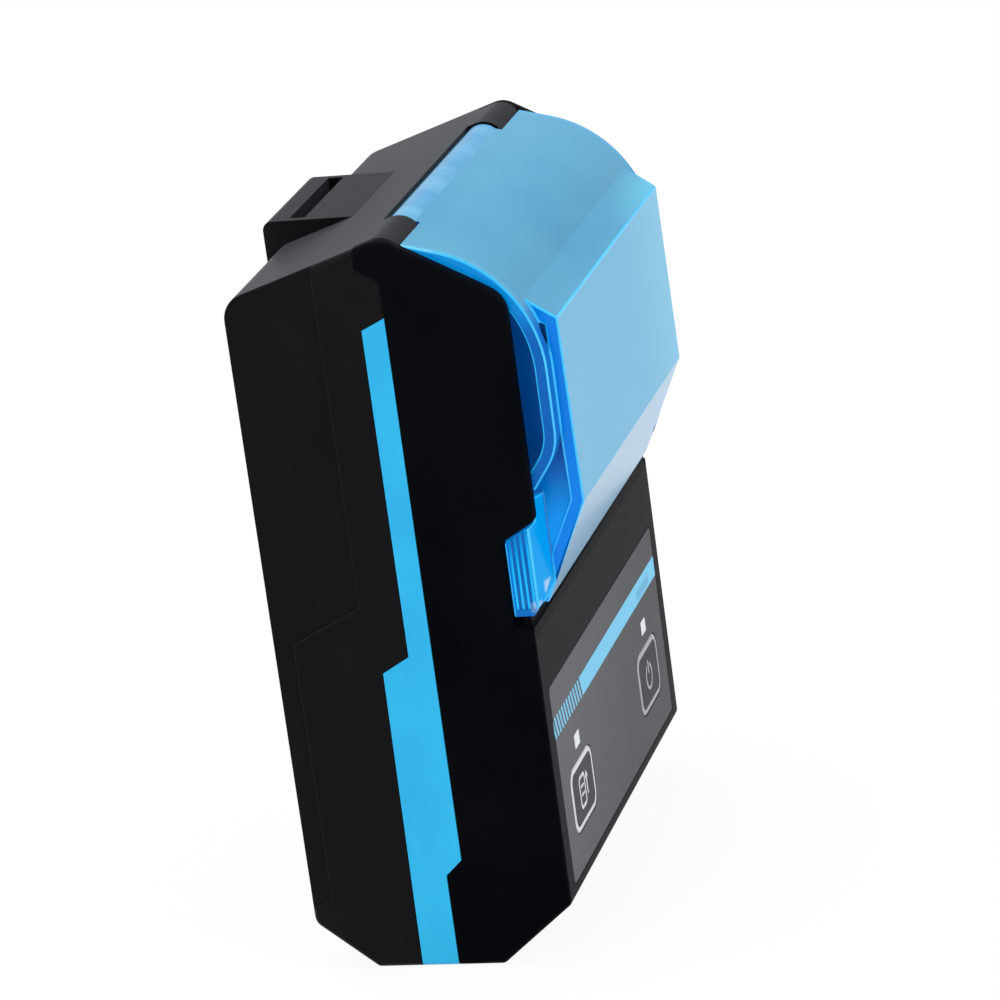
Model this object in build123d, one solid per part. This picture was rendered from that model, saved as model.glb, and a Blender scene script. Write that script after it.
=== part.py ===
from build123d import *
import math
import os

# Portable receipt printer with a hinged paper lid, standing on its flat bottom end.
# All lengths are millimetres. X runs across the case, Y from the key panel (-) to the back (+)
# and Z from the bottom face up to the lid's hinge. The origin is the middle of the bottom face.

# Case, seen from the side
case_length = 112.0
case_depth = 39.6
base_depth = 19.4
back_chamfer_depth = 8.9
back_chamfer_height = 7.4
front_chamfer_height = 9.1
back_top_drop = 8.0
apex_from_panel = 15.2
rail_rise = 2.3
rail_top_drop = 9.7
rail_end_above_platen = 9.9
notch_top_above_platen = 6.9
notch_depth = 2.9
ledge_below_platen = 6.7
ledge_slope = 0.9
wall = 2.0
seam_gap = 0.12
edge_round = 0.9

# Lip under the paper exit
lip_crease_below_ledge = 1.3
lip_rise = 3.1
lip_lean = 0.4
lip_thickness = 1.5
lip_end_inset = 1.2

# Seam between the front and the rear shell on the side faces
seam_from_panel = 15.6
seam_top_shift = 3.3
seam_top_drops = (6.3, 4.2)
seam_low_shift = 2.6
seam_low_heights = (14.5, 16.9)

# Coloured trim band that runs down both sides and under the bottom
trim_depth = 1.0
trim_clearance = 0.05
trim_top_drops = (13.3, 11.6)
trim_upper_width = 3.6
trim_lower_width = 7.8
trim_base_width = 5.6
trim_step_below_platen = (12.2, 9.8)

# Shallow stepped field on each side of the rear shell
field_step = 0.5
field_width = 14.0
field_low_width = 3.2
field_step_below_platen = (7.3, 2.0)
field_low_height = 11.0

# Belt loop block on the back
loop_width = 24.4
loop_top_drop = 3.7
loop_root_from_back = 13.0
loop_rise = 1.0
loop_low_drop = 15.0
loop_chamfer = 1.5
strap_slot_width = 2.4
strap_slot_length = 22.0
strap_bar = 4.0
strap_window_low_drop = 13.0
strap_window_height = 4.6
strap_housing_wall = 1.0

# Lid hinge
apex_radius = 3.4
barrel_radius = 3.1
barrel_length = 50.8
hinge_gap = 0.4
hinge_pin_radius = 1.0
hinge_pin_clearance = 0.05
hinge_pin_end_inset = 0.3
barrel_slot_reach = 2.4
barrel_slot_depth = 9.0

# Lid: the curved paper cover and the faceted nose that stands out of it
lid_side_clearance = 0.2
cover_wall = 1.9
cover_slope_deg = 14.5
cover_offset = 2.75
cover_reach = 4.3
cover_low_above_platen = 19.8
cover_end_above_platen = 13.9
cover_top_radius = 19.2
cover_low_radius = 9.0
nose_wall = 2.0
nose_top_slope_deg = 34.2
nose_top_reach = 6.0
nose_root_length = 6.0
nose_top_drop = 14.5
nose_low_reach = 6.4
nose_low_above_platen = 11.0
nose_end_setback = 0.9
nose_end_gap = 0.7
cheek_inset = 0.6
cheek_thickness = 1.4
cheek_back_from_hinge = 9.6
cheek_ear_radius = 4.0
window_run = 2.2
window_rise = 1.2
window_height = 4.6

# Finger grips at the lid's lower corners
grip_outset = 0.3
grip_thickness = 1.9
grip_gap = 0.3
grip_low_gap = 2.3
grip_face_depth = 3.8
grip_flank_rise = 1.6
grip_flank_chamfer = 3.6
grip_height = 17.1
groove_count = 4
groove_pitch = 0.85
groove_width = 0.4
groove_depth = 0.35

# Platen in the lid
platen_from_hinge_y = 11.8
platen_drop = 53.2
platen_radius = 4.0
platen_length = 58.0
platen_shaft_radius = 1.5
platen_end_gap = 1.8
bushing_radius = 2.5
bushing_clearance = 0.03
bushing_platen_gap = 1.7
fit_clearance = 0.02

# Gear train on the left side
gear_module = 0.5
gear_pressure_deg = 25.0
gear_addendum = 0.4
gear_dedendum = 0.55
gear_thinning = 0.06
gear_centre_play = 0.03
platen_teeth = 18
reducer_small_teeth = 12
reducer_large_teeth = 34
pinion_teeth = 12
inner_gear_width = 1.6
outer_gear_width = 1.0
cheek_gear_gap = 0.3
gear_layer_gap = 0.2
gear_wall_gap = 0.6
gear_hub_radius = 2.4
gear_hub_reach = 0.2
reducer_direction_deg = -10.0
motor_direction_deg = -63.0
gear_axle_radius = 0.8
axle_clearance = 0.05

# Paper roll bin
roll_radius = 20.0
roll_clearance = 0.6
roll_inset = 0.25
roll_side_clearance = 0.55
bin_wall = 1.2
bin_gap = 0.3
bin_above_platen = 25.7
bin_top_deg = 58.0
bin_front_margin = 0.81
bin_cheek_front = 14.5
bin_deck_thickness = 1.2
deck_setback = 1.6
sensor_x = 22.5
sensor_size = (4.0, 2.4, 3.4)
sensor_gap = 0.3

# Print head
head_gap = 0.2
head_plate_thickness = 0.8
head_plate_height = 10.5
head_cover_rise = 0.6
head_cover_height = 2.3
head_overhang = 0.5
heater_radius = 0.35
heat_sink_thickness = 2.0
heat_sink_height = 12.0
heat_sink_below_platen = 7.8
fin_pitch = 6.0
fin_gap = 2.4
fin_depth = 0.8
head_pivot_radius = 1.0
head_pivot_below_platen = 6.4
head_pivot_length = 1.2
spring_radius = 1.5
spring_wire = 0.35
spring_turns = 4
spring_length = 3.9
spring_gap = 0.2
spring_above_platen = 1.5
spring_spacing = 32.0

# Mechanism chassis
chassis_plate = 1.4
chassis_gap = 0.2
chassis_top_above_platen = 3.5
chassis_low_below_platen = 21.8
chassis_front_below_platen = 4.8
chassis_bar_height = 4.2
chassis_bar_thickness = 2.0
notch_clearance = 0.5
notch_lead = 1.2
chassis_foot_length = 3.4
chassis_foot_depth = 4.6
chassis_foot_below_platen = 15.2
chassis_foot_thickness = 1.4
chassis_lug_height = 3.6
foot_board_gap = 0.4

# Tear bar
tear_blade = 0.4
tear_foot_depth = 2.6
tear_rise = 0.4
tear_tooth_pitch = 1.0
tear_tooth_depth = 0.5

# Stepper motor
motor_radius = 6.0
motor_length = 12.5
motor_flange = 0.8
motor_ear_offset = 8.2
motor_ear_radius = 2.0
motor_bay_gap = 1.4

# Boards, keys and lamps
board_thickness = 1.6
board_from_panel = 7.4
board_edge_gap = 0.4
board_low = 9.5
board_top_below_platen = 11.8
board_post_radius = 2.3
board_post_insets = ((3.4, 3.0), (2.4, 3.0))
chips = (
    (0.0, 18.5, 10.0, 10.0, 1.2),
    (14.0, 8.0, 12.0, 11.0, 2.2),
    (-16.0, 6.0, 8.0, 6.0, 1.0),
    (14.0, 22.5, 6.0, 6.0, 2.8),
)
upper_chip = (-20.0, 13.0, 9.0, 3.0, 1.0)
head_connector_side = 1.0
head_connector_height = 3.2
head_connector_rise = 1.6
head_connector_drop = 3.5
label_side_inset = 4.0
label_low = 10.8
label_below_lip = 9.1
label_thickness = 0.2
label_corner = 0.8
label_gap = 0.1
key_inset = 11.8
key_height = 21.2
key_size = (14.0, 10.0)
key_corner = 2.4
key_gap = 0.15
key_travel = 0.4
key_edge_round = 0.25
key_flange = 1.0
key_flange_thickness = 0.7
key_stem_radius = 1.8
key_rest_gap = 0.1
switch_size = 6.0
switch_body = 2.6
switch_plunger_radius = 1.5
switch_plunger = 0.5
lamp_inset = 11.7
lamp_height = 29.2
lamp_size = (3.0, 2.2)
lamp_gap = 0.05
lamp_corner = 0.25
lamp_collar = 0.7
lamp_collar_thickness = 0.6
led_size = (1.6, 0.8)
led_thickness = 0.8

# Flat cables
flex_thickness = 0.2
head_flex_inset = 17.0
motor_flex_width = 4.0
motor_flex_drop = 4.7
flex_bend = 0.8

# Charging socket on the right side
socket_width = 7.6
socket_thickness = 2.7
socket_length = 5.4
socket_wall = 0.35
socket_tongue = 0.7
socket_tongue_inset = 1.2
socket_setback = 0.8
socket_opening_gap = 0.5
socket_board_margin = 1.6

# Battery, its bay and its door
battery_gap = 0.5
battery_round = 3.0
bay_low = 11.3
bay_top_below_platen = 2.4
bay_wall = 1.2
bay_chassis_gap = 1.1
contact_count = 3
contact_pitch = 6.0
contact_width = 2.0
contact_thickness = 0.3
contact_space = 1.6
contact_setback = 2.0
contact_foot = 6.0
contact_bend = 2.4
contact_return = 3.9
door_thickness = 1.6
door_overlap = 1.8
door_gap = 0.15
door_corner = 3.0
door_ridges = 5
door_ridge_pitch = 1.8
door_ridge_depth = 0.4
door_ridge_length = 14.0
door_ridge_drop = 5.0

# Fasteners
case_screw_inset = 3.1
case_screw_low = 14.0
case_screw_top_drop = 12.0
case_screw_radius = 1.0
case_screw_length = 8.0
case_screw_seat_depth = 2.0
case_screw_floor = 1.0
case_screw_head_radius = 1.9
case_screw_head_height = 1.4
case_post_radius = 2.8
case_lug_gap = 0.2
small_screw_radius = 0.8
small_screw_head_radius = 1.5
small_screw_head_height = 0.9
small_screw_length = 4.0
screw_slot_width = 0.4
thread_gap = 0.1
screw_tip_gap = 0.5

# Layers across the case, from the platen's end out to the side face
platen_half = platen_length / 2
chassis_in = platen_half + platen_end_gap
chassis_out = chassis_in + chassis_plate
cheek_in = chassis_out + chassis_gap
cheek_out = cheek_in + cheek_thickness
nose_half = cheek_out + cheek_inset
inner_gear_end = cheek_out + cheek_gear_gap + inner_gear_width
outer_gear_end = inner_gear_end + gear_layer_gap + outer_gear_width
inner_half = outer_gear_end + gear_wall_gap
half_width = inner_half + wall
cover_half = inner_half - lid_side_clearance
inner_gear_x = (-inner_gear_end, -(inner_gear_end - inner_gear_width))
outer_gear_x = (-outer_gear_end, -(outer_gear_end - outer_gear_width))

# Faces from front to back
back_y = base_depth / 2 + back_chamfer_depth
panel_y = back_y - case_depth
inner_panel_y = panel_y + wall
rail_y = panel_y - rail_rise
notch_y = panel_y + notch_depth
apex_y = panel_y + apex_from_panel
seam_y = panel_y + seam_from_panel

# Heights that follow the top end, and those that follow the platen
platen_z = case_length - platen_drop
rail_end_height = platen_z + rail_end_above_platen
notch_top_height = platen_z + notch_top_above_platen
ledge_height = platen_z - ledge_below_platen
lip_crease_height = ledge_height - lip_crease_below_ledge
lip_height = lip_crease_height + lip_rise
far = 2 * case_length


def unit(start, end):
    length = math.dist(start, end)
    return ((end[0] - start[0]) / length, (end[1] - start[1]) / length)


def meet(point_a, way_a, point_b, way_b):
    # where two lines, each given by a point and a direction, cross
    cross = way_a[0] * way_b[1] - way_a[1] * way_b[0]
    gap = (point_b[0] - point_a[0], point_b[1] - point_a[1])
    along = (gap[0] * way_b[1] - gap[1] * way_b[0]) / cross
    return (point_a[0] + along * way_a[0], point_a[1] + along * way_a[1])


def shifted(start, end, distance):
    # the line from start to end, moved to its left by distance
    way = unit(start, end)
    return (start[0] - way[1] * distance, start[1] + way[0] * distance), way


def parallel(points, distance, closed=False):
    # the corners of a path that runs beside another one, to its left
    count = len(points)
    last = count if closed else count - 1
    lines = [shifted(points[i], points[(i + 1) % count], distance) for i in range(last)]
    if closed:
        return [meet(*lines[i - 1], *lines[i]) for i in range(count)]
    inner = [meet(*lines[i - 1], *lines[i]) for i in range(1, last)]
    end_way = lines[-1][1]
    end = (points[-1][0] - end_way[1] * distance, points[-1][1] + end_way[0] * distance)
    return [lines[0][0]] + inner + [end]


def strip(points, thickness, radii):
    # a wall of even thickness that follows an open path, with its inner corners rounded to match
    inner = parallel(points, thickness)
    inner_radii = []
    for i, radius in enumerate(radii):
        before = unit(points[i], points[i + 1])
        after = unit(points[i + 1], points[i + 2])
        left_turn = before[0] * after[1] > before[1] * after[0]
        change = -thickness if left_turn else thickness
        inner_radii.append(max(radius + change, 0) if radius else 0)
    return area(points + inner[::-1], [0] + radii + [0, 0] + inner_radii[::-1] + [0])


def area(points, radii=None):
    if radii is None:
        return make_face(Polyline(*points, close=True))
    return make_face(FilletPolyline(*points, radius=radii, close=True))


def across(face, x_from, x_to):
    # a face drawn in (y, z), drawn out along X
    return extrude(Plane.YZ.offset(x_from) * face, amount=x_to - x_from)


def both_sides(face, x_from, x_to):
    return across(face, x_from, x_to) + across(face, -x_to, -x_from)


def block(x_range, y_range, z_range):
    size = [high - low for low, high in (x_range, y_range, z_range)]
    middle = [(low + high) / 2 for low, high in (x_range, y_range, z_range)]
    return Pos(*middle) * Box(*size)


def around(centre, half):
    return (centre - half, centre + half)


def rod_x(radius, x_range, y, z):
    return across(Pos(y, z) * Circle(radius), *x_range)


def rod_y(radius, x, y_range, z):
    drawn = Plane.XZ.offset(-y_range[0]) * Pos(x, z) * Circle(radius)
    return extrude(drawn, amount=-(y_range[1] - y_range[0]))


def rod_z(radius, x, y, z_range):
    return extrude(Plane.XY.offset(z_range[0]) * Pos(x, y) * Circle(radius), amount=z_range[1] - z_range[0])


def plate_y(width, height, corner, x, y_range, z):
    # a plate that lies in an XZ plane, with rounded corners
    drawn = Plane.XZ.offset(-y_range[0]) * Pos(x, z) * RectangleRounded(width, height, corner)
    return extrude(drawn, amount=-(y_range[1] - y_range[0]))


def join(parts):
    whole = parts[0]
    for part in parts[1:]:
        whole = whole + part
    return whole


def mirrored(part):
    return part + mirror(part, about=Plane.YZ)


case_outline = [
    (base_depth / 2, 0),
    (back_y, back_chamfer_height),
    (back_y, case_length - back_top_drop),
    (apex_y, case_length),
    (rail_y, case_length - rail_top_drop),
    (rail_y, rail_end_height),
    (notch_y, notch_top_height),
    (notch_y, ledge_height + ledge_slope),
    (panel_y, ledge_height),
    (panel_y, front_chamfer_height),
    (-base_depth / 2, 0),
]
case_radii = [1.0, 2.0, 4.0, apex_radius, 4.5, 1.5, 0.4, 0.4, 0.3, 1.0, 1.0]

# The hinge axis is the centre of the rounding at the top edge
back_slope_inside = shifted(case_outline[2], case_outline[3], apex_radius)
front_slope_inside = shifted(case_outline[3], case_outline[4], apex_radius)
hinge_y, hinge_z = meet(*back_slope_inside, *front_slope_inside)

platen_y = hinge_y - platen_from_hinge_y


def polar(y, z, radius, angle_deg):
    angle = math.radians(angle_deg)
    return (y + radius * math.cos(angle), z + radius * math.sin(angle))


def mesh_distance(teeth_a, teeth_b):
    return gear_module * (teeth_a + teeth_b) / 2 + gear_centre_play


reducer_y, reducer_z = polar(
    platen_y, platen_z, mesh_distance(platen_teeth, reducer_small_teeth), reducer_direction_deg)
motor_y, motor_z = polar(
    reducer_y, reducer_z, mesh_distance(reducer_large_teeth, pinion_teeth), motor_direction_deg)

# Paper bin, print head and chassis
roll_half = platen_half - roll_inset
bin_half = roll_half + roll_side_clearance
bin_radius = roll_radius + roll_clearance
bin_outer_radius = bin_radius + bin_wall
bin_y = back_y - wall - bin_gap - bin_outer_radius
bin_z = platen_z + bin_above_platen
deck_y = hinge_y - cheek_back_from_hinge + deck_setback

head_half = platen_half + head_overhang
head_y = platen_y + platen_radius + head_gap
heat_sink_y = head_y + head_plate_thickness
heat_sink_back = heat_sink_y + heat_sink_thickness
heat_sink_low = platen_z - heat_sink_below_platen
head_plate_top = heat_sink_low + heat_sink_height - 0.1
head_pivot_y = (heat_sink_y + heat_sink_back) / 2
head_pivot_z = platen_z - head_pivot_below_platen
spring_z = platen_z + spring_above_platen
bar_y = heat_sink_back + spring_gap + spring_length
bin_front_y = bar_y - sensor_size[1] - sensor_gap - bin_front_margin
chassis_top = platen_z + chassis_top_above_platen
foot_z = platen_z - chassis_foot_below_platen

# Board, its screws and the chassis feet behind it
board_y = panel_y + board_from_panel
board_back = board_y + board_thickness
board_high = platen_z - board_top_below_platen
board_half = chassis_in - board_edge_gap
head_flex_half = platen_half - head_flex_inset
board_screw_places = [
    (board_half - board_post_insets[0][0], board_low + board_post_insets[0][1]),
    (board_half - board_post_insets[1][0], board_high - board_post_insets[1][1]),
]
foot_y = (board_back + foot_board_gap, board_back + foot_board_gap + chassis_foot_depth)
foot_screw_x = chassis_out + chassis_foot_length / 2 + 0.2
foot_screw_y = sum(foot_y) / 2

# Paper exit, label, keys and lamps
opening_low = ledge_height + ledge_slope - 0.1
label_half = half_width - label_side_inset
label_height = lip_crease_height - label_below_lip - label_low
label_z = label_low + label_height / 2
key_places = [key_inset - label_half, label_half - key_inset]
lamp_places = [lamp_inset - label_half, label_half - lamp_inset]

# Case screws, and the socket between the lower screw post and the chassis lug
case_screw_x = inner_half - case_screw_inset
case_screw_high = case_length - case_screw_top_drop
case_screw_heights = [case_screw_low, case_screw_high]
case_screw_seat = seam_y + case_screw_seat_depth
case_lug_front = case_screw_seat - case_screw_length + 1.0
socket_y = board_back + socket_thickness / 2
socket_z = (case_screw_low + case_post_radius + foot_z - chassis_lug_height) / 2

# Battery bay and its door
bay_half = chassis_in - bay_chassis_gap - bay_wall
bay_high = platen_z - bay_top_below_platen
bay_front = motor_y + motor_radius + motor_bay_gap + bay_wall
battery_thickness = back_y - door_thickness - bay_front - 2 * battery_gap
battery_height = bay_high - bay_low - contact_space - 2 * battery_gap
door_width = 2 * (bay_half + door_overlap)
door_z = (bay_low - door_overlap, bay_high + door_overlap)

# Hinge bosses and the strap's slot
boss_half = barrel_length / 2 + hinge_gap
strap_rear = back_y + loop_rise - strap_bar
strap_front = strap_rear - strap_slot_width
strap_window_low = case_length - strap_window_low_drop


def side_seam(shift):
    # the seam's path on the side faces, from above the case to below it
    upper = seam_y + shift
    top = upper + seam_top_shift
    low = upper + seam_low_shift
    return [
        (top, far),
        (top, case_length - seam_top_drops[1]),
        (upper, case_length - seam_top_drops[0]),
        (upper, seam_low_heights[1]),
        (low, seam_low_heights[0]),
        (low, -far),
    ]


def in_front_of_seam(shift):
    return across(area(side_seam(shift) + [(-far, -far), (-far, far)]), -far, far)


def hollow_case():
    outer = across(area(case_outline, case_radii), -half_width, half_width)
    end_edges = [
        edge for edge in outer.edges()
        if abs(abs(edge.center().X) - half_width) < 0.01 and in_soft_outline(edge.center())
    ]
    outer = fillet(end_edges, edge_round)
    inner_outline = parallel(case_outline, wall, closed=True)
    inner_radii = [max(radius - wall, 0) for radius in case_radii]
    inner = across(area(inner_outline, inner_radii), -inner_half, inner_half)
    return outer, outer - inner


def in_soft_outline(point):
    # the side edges that are rounded: all but those of the grip notch
    return not (point.Y < notch_y + 1 and ledge_height - 2 < point.Z < rail_end_height + 0.3)


outer_case, case = hollow_case()
above_opening = block(around(0, inner_half), (-far, far), (opening_low, far))


def trim_outline(growth):
    # the band's field on a side face; its front edge is the shells' seam
    seam = seam_y - growth
    rear = seam_y + growth
    low_seam = seam + seam_low_shift
    return [
        (seam, case_length - trim_top_drops[1] + growth),
        (seam, seam_low_heights[1]),
        (low_seam, seam_low_heights[0]),
        (low_seam, -growth),
        (rear + seam_low_shift + trim_base_width, -growth),
        (rear + trim_lower_width, platen_z - trim_step_below_platen[0]),
        (rear + trim_upper_width, platen_z - trim_step_below_platen[1]),
        (rear + trim_upper_width, case_length - trim_top_drops[0] + growth),
    ]


def trim_shell(growth):
    # the outer skin of the case inside the band's field
    field = across(area(trim_outline(growth)), -far, far)
    depth = trim_depth + growth
    core = block(around(0, half_width - depth), (-far, far), (depth, far))
    return field & (outer_case - core)


def trim_band():
    return trim_shell(0) - in_front_of_seam(trim_clearance)


def stepped_fields():
    field_y = back_y - field_width
    low_y = back_y - field_low_width
    outline = [
        (field_y, far),
        (field_y, platen_z - field_step_below_platen[1]),
        (low_y, platen_z - field_step_below_platen[0]),
        (low_y, field_low_height),
        (back_y + 1, field_low_height - field_low_width / 2),
        (back_y + 1, far),
    ]
    return both_sides(area(outline), half_width - field_step, half_width + 1)


def lip():
    outline = [
        (panel_y, lip_crease_height),
        (panel_y + lip_lean, lip_height),
        (panel_y + lip_thickness, lip_height),
        (panel_y + lip_thickness, lip_crease_height - 1),
        (panel_y, lip_crease_height - 1),
    ]
    return across(area(outline), -(half_width - lip_end_inset), half_width - lip_end_inset)


def ahead_of_lip():
    outline = [
        (panel_y - 1, lip_crease_height),
        (panel_y, lip_crease_height),
        (panel_y + lip_lean, lip_height),
        (panel_y - 1, lip_height),
    ]
    return across(area(outline), -(half_width - lip_end_inset), half_width - lip_end_inset)


def shelf():
    # the floor under the paper exit, between the chassis plates
    shelf_y = (panel_y + wall / 2, head_y - head_cover_rise - head_gap - 0.1)
    return block(around(0, chassis_in - 2 * chassis_gap), shelf_y, (opening_low - wall, opening_low))


def case_posts(y_range, radius, heights):
    return join([
        rod_y(radius, side * case_screw_x, y_range, height) for side in (-1, 1) for height in heights])


def front_posts():
    # the front shell's screw posts below, and its screw lugs on the side walls above
    post_end = case_screw_seat - case_screw_floor
    low = case_posts((panel_y + wall / 2, post_end), case_post_radius, [case_screw_low])
    lug_z = around(case_screw_high, case_post_radius)
    lug_in = case_screw_x - case_post_radius
    lug_root = block((lug_in, inner_half + wall / 2), (case_lug_front, seam_y), lug_z)
    lug_end = block((lug_in, inner_half - case_lug_gap), (case_lug_front, post_end), lug_z)
    return low + mirrored(lug_root + lug_end)


def chassis_lugs():
    lug_z = (foot_z - chassis_lug_height, foot_z)
    return mirrored(block((chassis_out, inner_half + wall / 2), foot_y, lug_z))


def board_posts():
    return join([
        rod_y(board_post_radius, side * x, (panel_y + wall / 2, board_y), z)
        for side in (-1, 1) for x, z in board_screw_places])


def panel_plate(size, corner, x, y_range, z, growth):
    # a plate on the key panel, or the opening for it where it grows by a gap
    return plate_y(size[0] + 2 * growth, size[1] + 2 * growth, corner + growth, x, y_range, z)


def panel_openings(y_range):
    # the openings of the keys and of the lamps
    keys = [panel_plate(key_size, key_corner, x, y_range, key_height, key_gap) for x in key_places]
    lamps = [panel_plate(lamp_size, lamp_corner, x, y_range, lamp_height, lamp_gap) for x in lamp_places]
    return join(keys + lamps)


def front_shell():
    shell = (case & in_front_of_seam(0)) - above_opening
    shell = shell + lip() - ahead_of_lip() + shelf()
    shell = shell + (board_posts() & outer_case) + (front_posts() & outer_case) + chassis_lugs()
    label_size = (2 * label_half, label_height)
    label_room = (panel_y - 1, panel_y + label_thickness)
    shell = shell - panel_plate(label_size, label_corner, 0, label_room, label_z, label_gap)
    shell = shell - panel_openings((panel_y - 1, inner_panel_y + 1))
    small_hole = small_screw_radius + thread_gap
    for x, z in board_screw_places:
        for side in (-1, 1):
            shell = shell - rod_y(small_hole, side * x, (inner_panel_y + 0.2, board_y + 1), z)
    screw_tip = case_screw_seat - case_screw_length - screw_tip_gap
    shell = shell - case_posts((screw_tip, case_screw_seat + 1), case_screw_radius + thread_gap,
                               case_screw_heights)
    for side in (-1, 1):
        shell = shell - rod_z(small_hole, side * foot_screw_x, foot_screw_y,
                              (foot_z - small_screw_length + screw_tip_gap, foot_z + 1))
    large_tip = gear_module * reducer_large_teeth / 2 + gear_addendum
    gear_x = (outer_gear_x[0] - gear_layer_gap, outer_gear_x[1] + gear_layer_gap)
    shell = shell - rod_x(large_tip + 0.3, gear_x, reducer_y, reducer_z)
    opening_y = around(socket_y, socket_thickness / 2 + socket_opening_gap)
    opening_z = around(socket_z, socket_width / 2 + socket_opening_gap)
    return shell - block((inner_half - 1, half_width + 1), opening_y, opening_z)


def hinge_bosses():
    return join([
        rod_x(apex_radius, (boss_half, inner_half - seam_gap), hinge_y, hinge_z),
        rod_x(apex_radius, (-(inner_half - seam_gap), -boss_half), hinge_y, hinge_z),
    ])


def belt_loop():
    # the block that stands up from the back slope and a little out of the back face
    loop_back = back_y + loop_rise
    loop_height = case_length - loop_top_drop
    loop_low = case_length - loop_low_drop
    outline = [
        (back_y - loop_root_from_back, loop_height),
        (back_y - loop_root_from_back, loop_height - 3),
        (strap_front - strap_housing_wall, strap_window_low - strap_housing_wall),
        (back_y - wall / 2, strap_window_low - strap_housing_wall),
        (back_y - wall / 2, loop_low - loop_chamfer),
        (back_y, loop_low - loop_chamfer),
        (loop_back, loop_low),
        (loop_back, loop_height),
    ]
    radii = [0, 0, 0, 0, 0, 0, 0.5, 1.5]
    return across(area(outline, radii), -loop_width / 2, loop_width / 2)


def strap_passage():
    # down through the slot in the block's top and out of the window below the bar
    half = strap_slot_length / 2
    window_high = strap_window_low + strap_window_height
    slot = block(around(0, half), (strap_front, strap_rear), (strap_window_low, far))
    window = block(around(0, half), (strap_front, far), (strap_window_low, window_high))
    return slot + window


def bay_walls():
    # the battery bay's four walls and its floor, behind the door
    outer = block(around(0, bay_half + bay_wall), (bay_front - bay_wall, back_y - wall / 2),
                  (bay_low - bay_wall, bay_high + bay_wall))
    inner = block(around(0, bay_half), (bay_front, far), (bay_low, bay_high))
    return outer - inner


def rear_shell():
    shell = case - in_front_of_seam(seam_gap)
    roof = case & block(around(0, inner_half - seam_gap), (hinge_y, far), (hinge_z - 2 * apex_radius, far))
    shell = shell + roof
    shell = shell + (belt_loop() & block(around(0, loop_width), (-far, far), (0, far)))
    shell = shell - strap_passage()
    shell = shell + bay_walls() - block(around(0, bay_half), (bay_front, far), (bay_low, bay_high))
    rebate_y = (back_y - door_thickness - 0.05, far)
    shell = shell - plate_y(door_width, door_z[1] - door_z[0], door_corner, 0, rebate_y, sum(door_z) / 2)
    post_y = (case_screw_seat - case_screw_floor + seam_gap, back_y - wall / 2)
    shell = shell + case_posts(post_y, case_post_radius, case_screw_heights)
    head_room = case_screw_head_radius + thread_gap
    shell = shell - case_posts((case_screw_seat, far), head_room, case_screw_heights)
    shell = shell - case_posts((-far, far), case_screw_radius + thread_gap, case_screw_heights)
    shell = shell - trim_shell(trim_clearance)
    shell = shell - stepped_fields()
    barrel_room = block(around(0, boss_half), (-far, hinge_y + barrel_slot_reach),
                        (hinge_z - barrel_slot_depth, far))
    shell = shell - barrel_room - rod_x(barrel_radius + 0.3, (-boss_half, boss_half), hinge_y, hinge_z)
    shell = shell + hinge_bosses()
    return shell - rod_x(hinge_pin_radius + fit_clearance, (-inner_half, inner_half), hinge_y, hinge_z)


def lid_cover_path():
    # from the barrel over the shoulder and down the paper cover's front
    slope = math.radians(cover_slope_deg)
    way = (-math.cos(slope), -math.sin(slope))
    start = (hinge_y - cover_offset * math.sin(slope), hinge_z + cover_offset * math.cos(slope))
    front_y = rail_y - cover_reach
    shoulder = meet(start, way, (front_y, 0), (0, 1))
    low = (front_y, platen_z + cover_low_above_platen)
    end = (rail_y - 0.1, platen_z + cover_end_above_platen)
    return [start, shoulder, low, end]


def nose_path():
    # the faceted nose: top facet, flat front and the face that runs down to the paper exit
    top = (rail_y - nose_top_reach, case_length - nose_top_drop)
    slope = math.radians(nose_top_slope_deg)
    start = (top[0] + nose_root_length * math.cos(slope), top[1] + nose_root_length * math.sin(slope))
    low = (rail_y - nose_low_reach, platen_z + nose_low_above_platen)
    end = (rail_y + nose_end_setback, lip_height + nose_end_gap)
    return [start, top, low, end]


def lid_cheek():
    # the end wall that fills the curved cover and the nose, down to the platen's ear
    cheek_y = hinge_y - cheek_back_from_hinge
    cover = parallel(lid_cover_path(), cover_wall / 2)
    cover_radii = [cover_top_radius - cover_wall / 2, cover_low_radius - cover_wall / 2]
    under_cover = area(cover + [(cover[0][0], cover[-1][1])], [0] + cover_radii + [0, 0])
    nose = parallel(nose_path(), nose_wall / 2)
    ear_back = platen_y + cheek_ear_radius
    outline = nose + [
        (platen_y, platen_z - cheek_ear_radius),
        (ear_back, platen_z - cheek_ear_radius),
        (ear_back, platen_z + cheek_ear_radius),
        (cheek_y, platen_z + 2.5 * cheek_ear_radius),
        (cheek_y, nose[0][1]),
    ]
    under_nose = area(outline, [0, 0, 0, 0, 0.5, 3.5, 1.0, 1.0, 0])
    ahead = Pos(cheek_y - case_length / 2, case_length / 2) * Rectangle(case_length, 2 * case_length)
    return (under_cover & ahead) + under_nose


def cheek_window():
    # the small three-cornered hole in each cheek, in the nose's upper corner
    corner = nose_path()[1]
    inside = (corner[0] + nose_wall, corner[1] - nose_wall / 2)
    rear = (inside[0] + window_run, inside[1] + window_rise)
    return area([inside, rear, (inside[0], inside[1] - window_height)])


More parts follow.
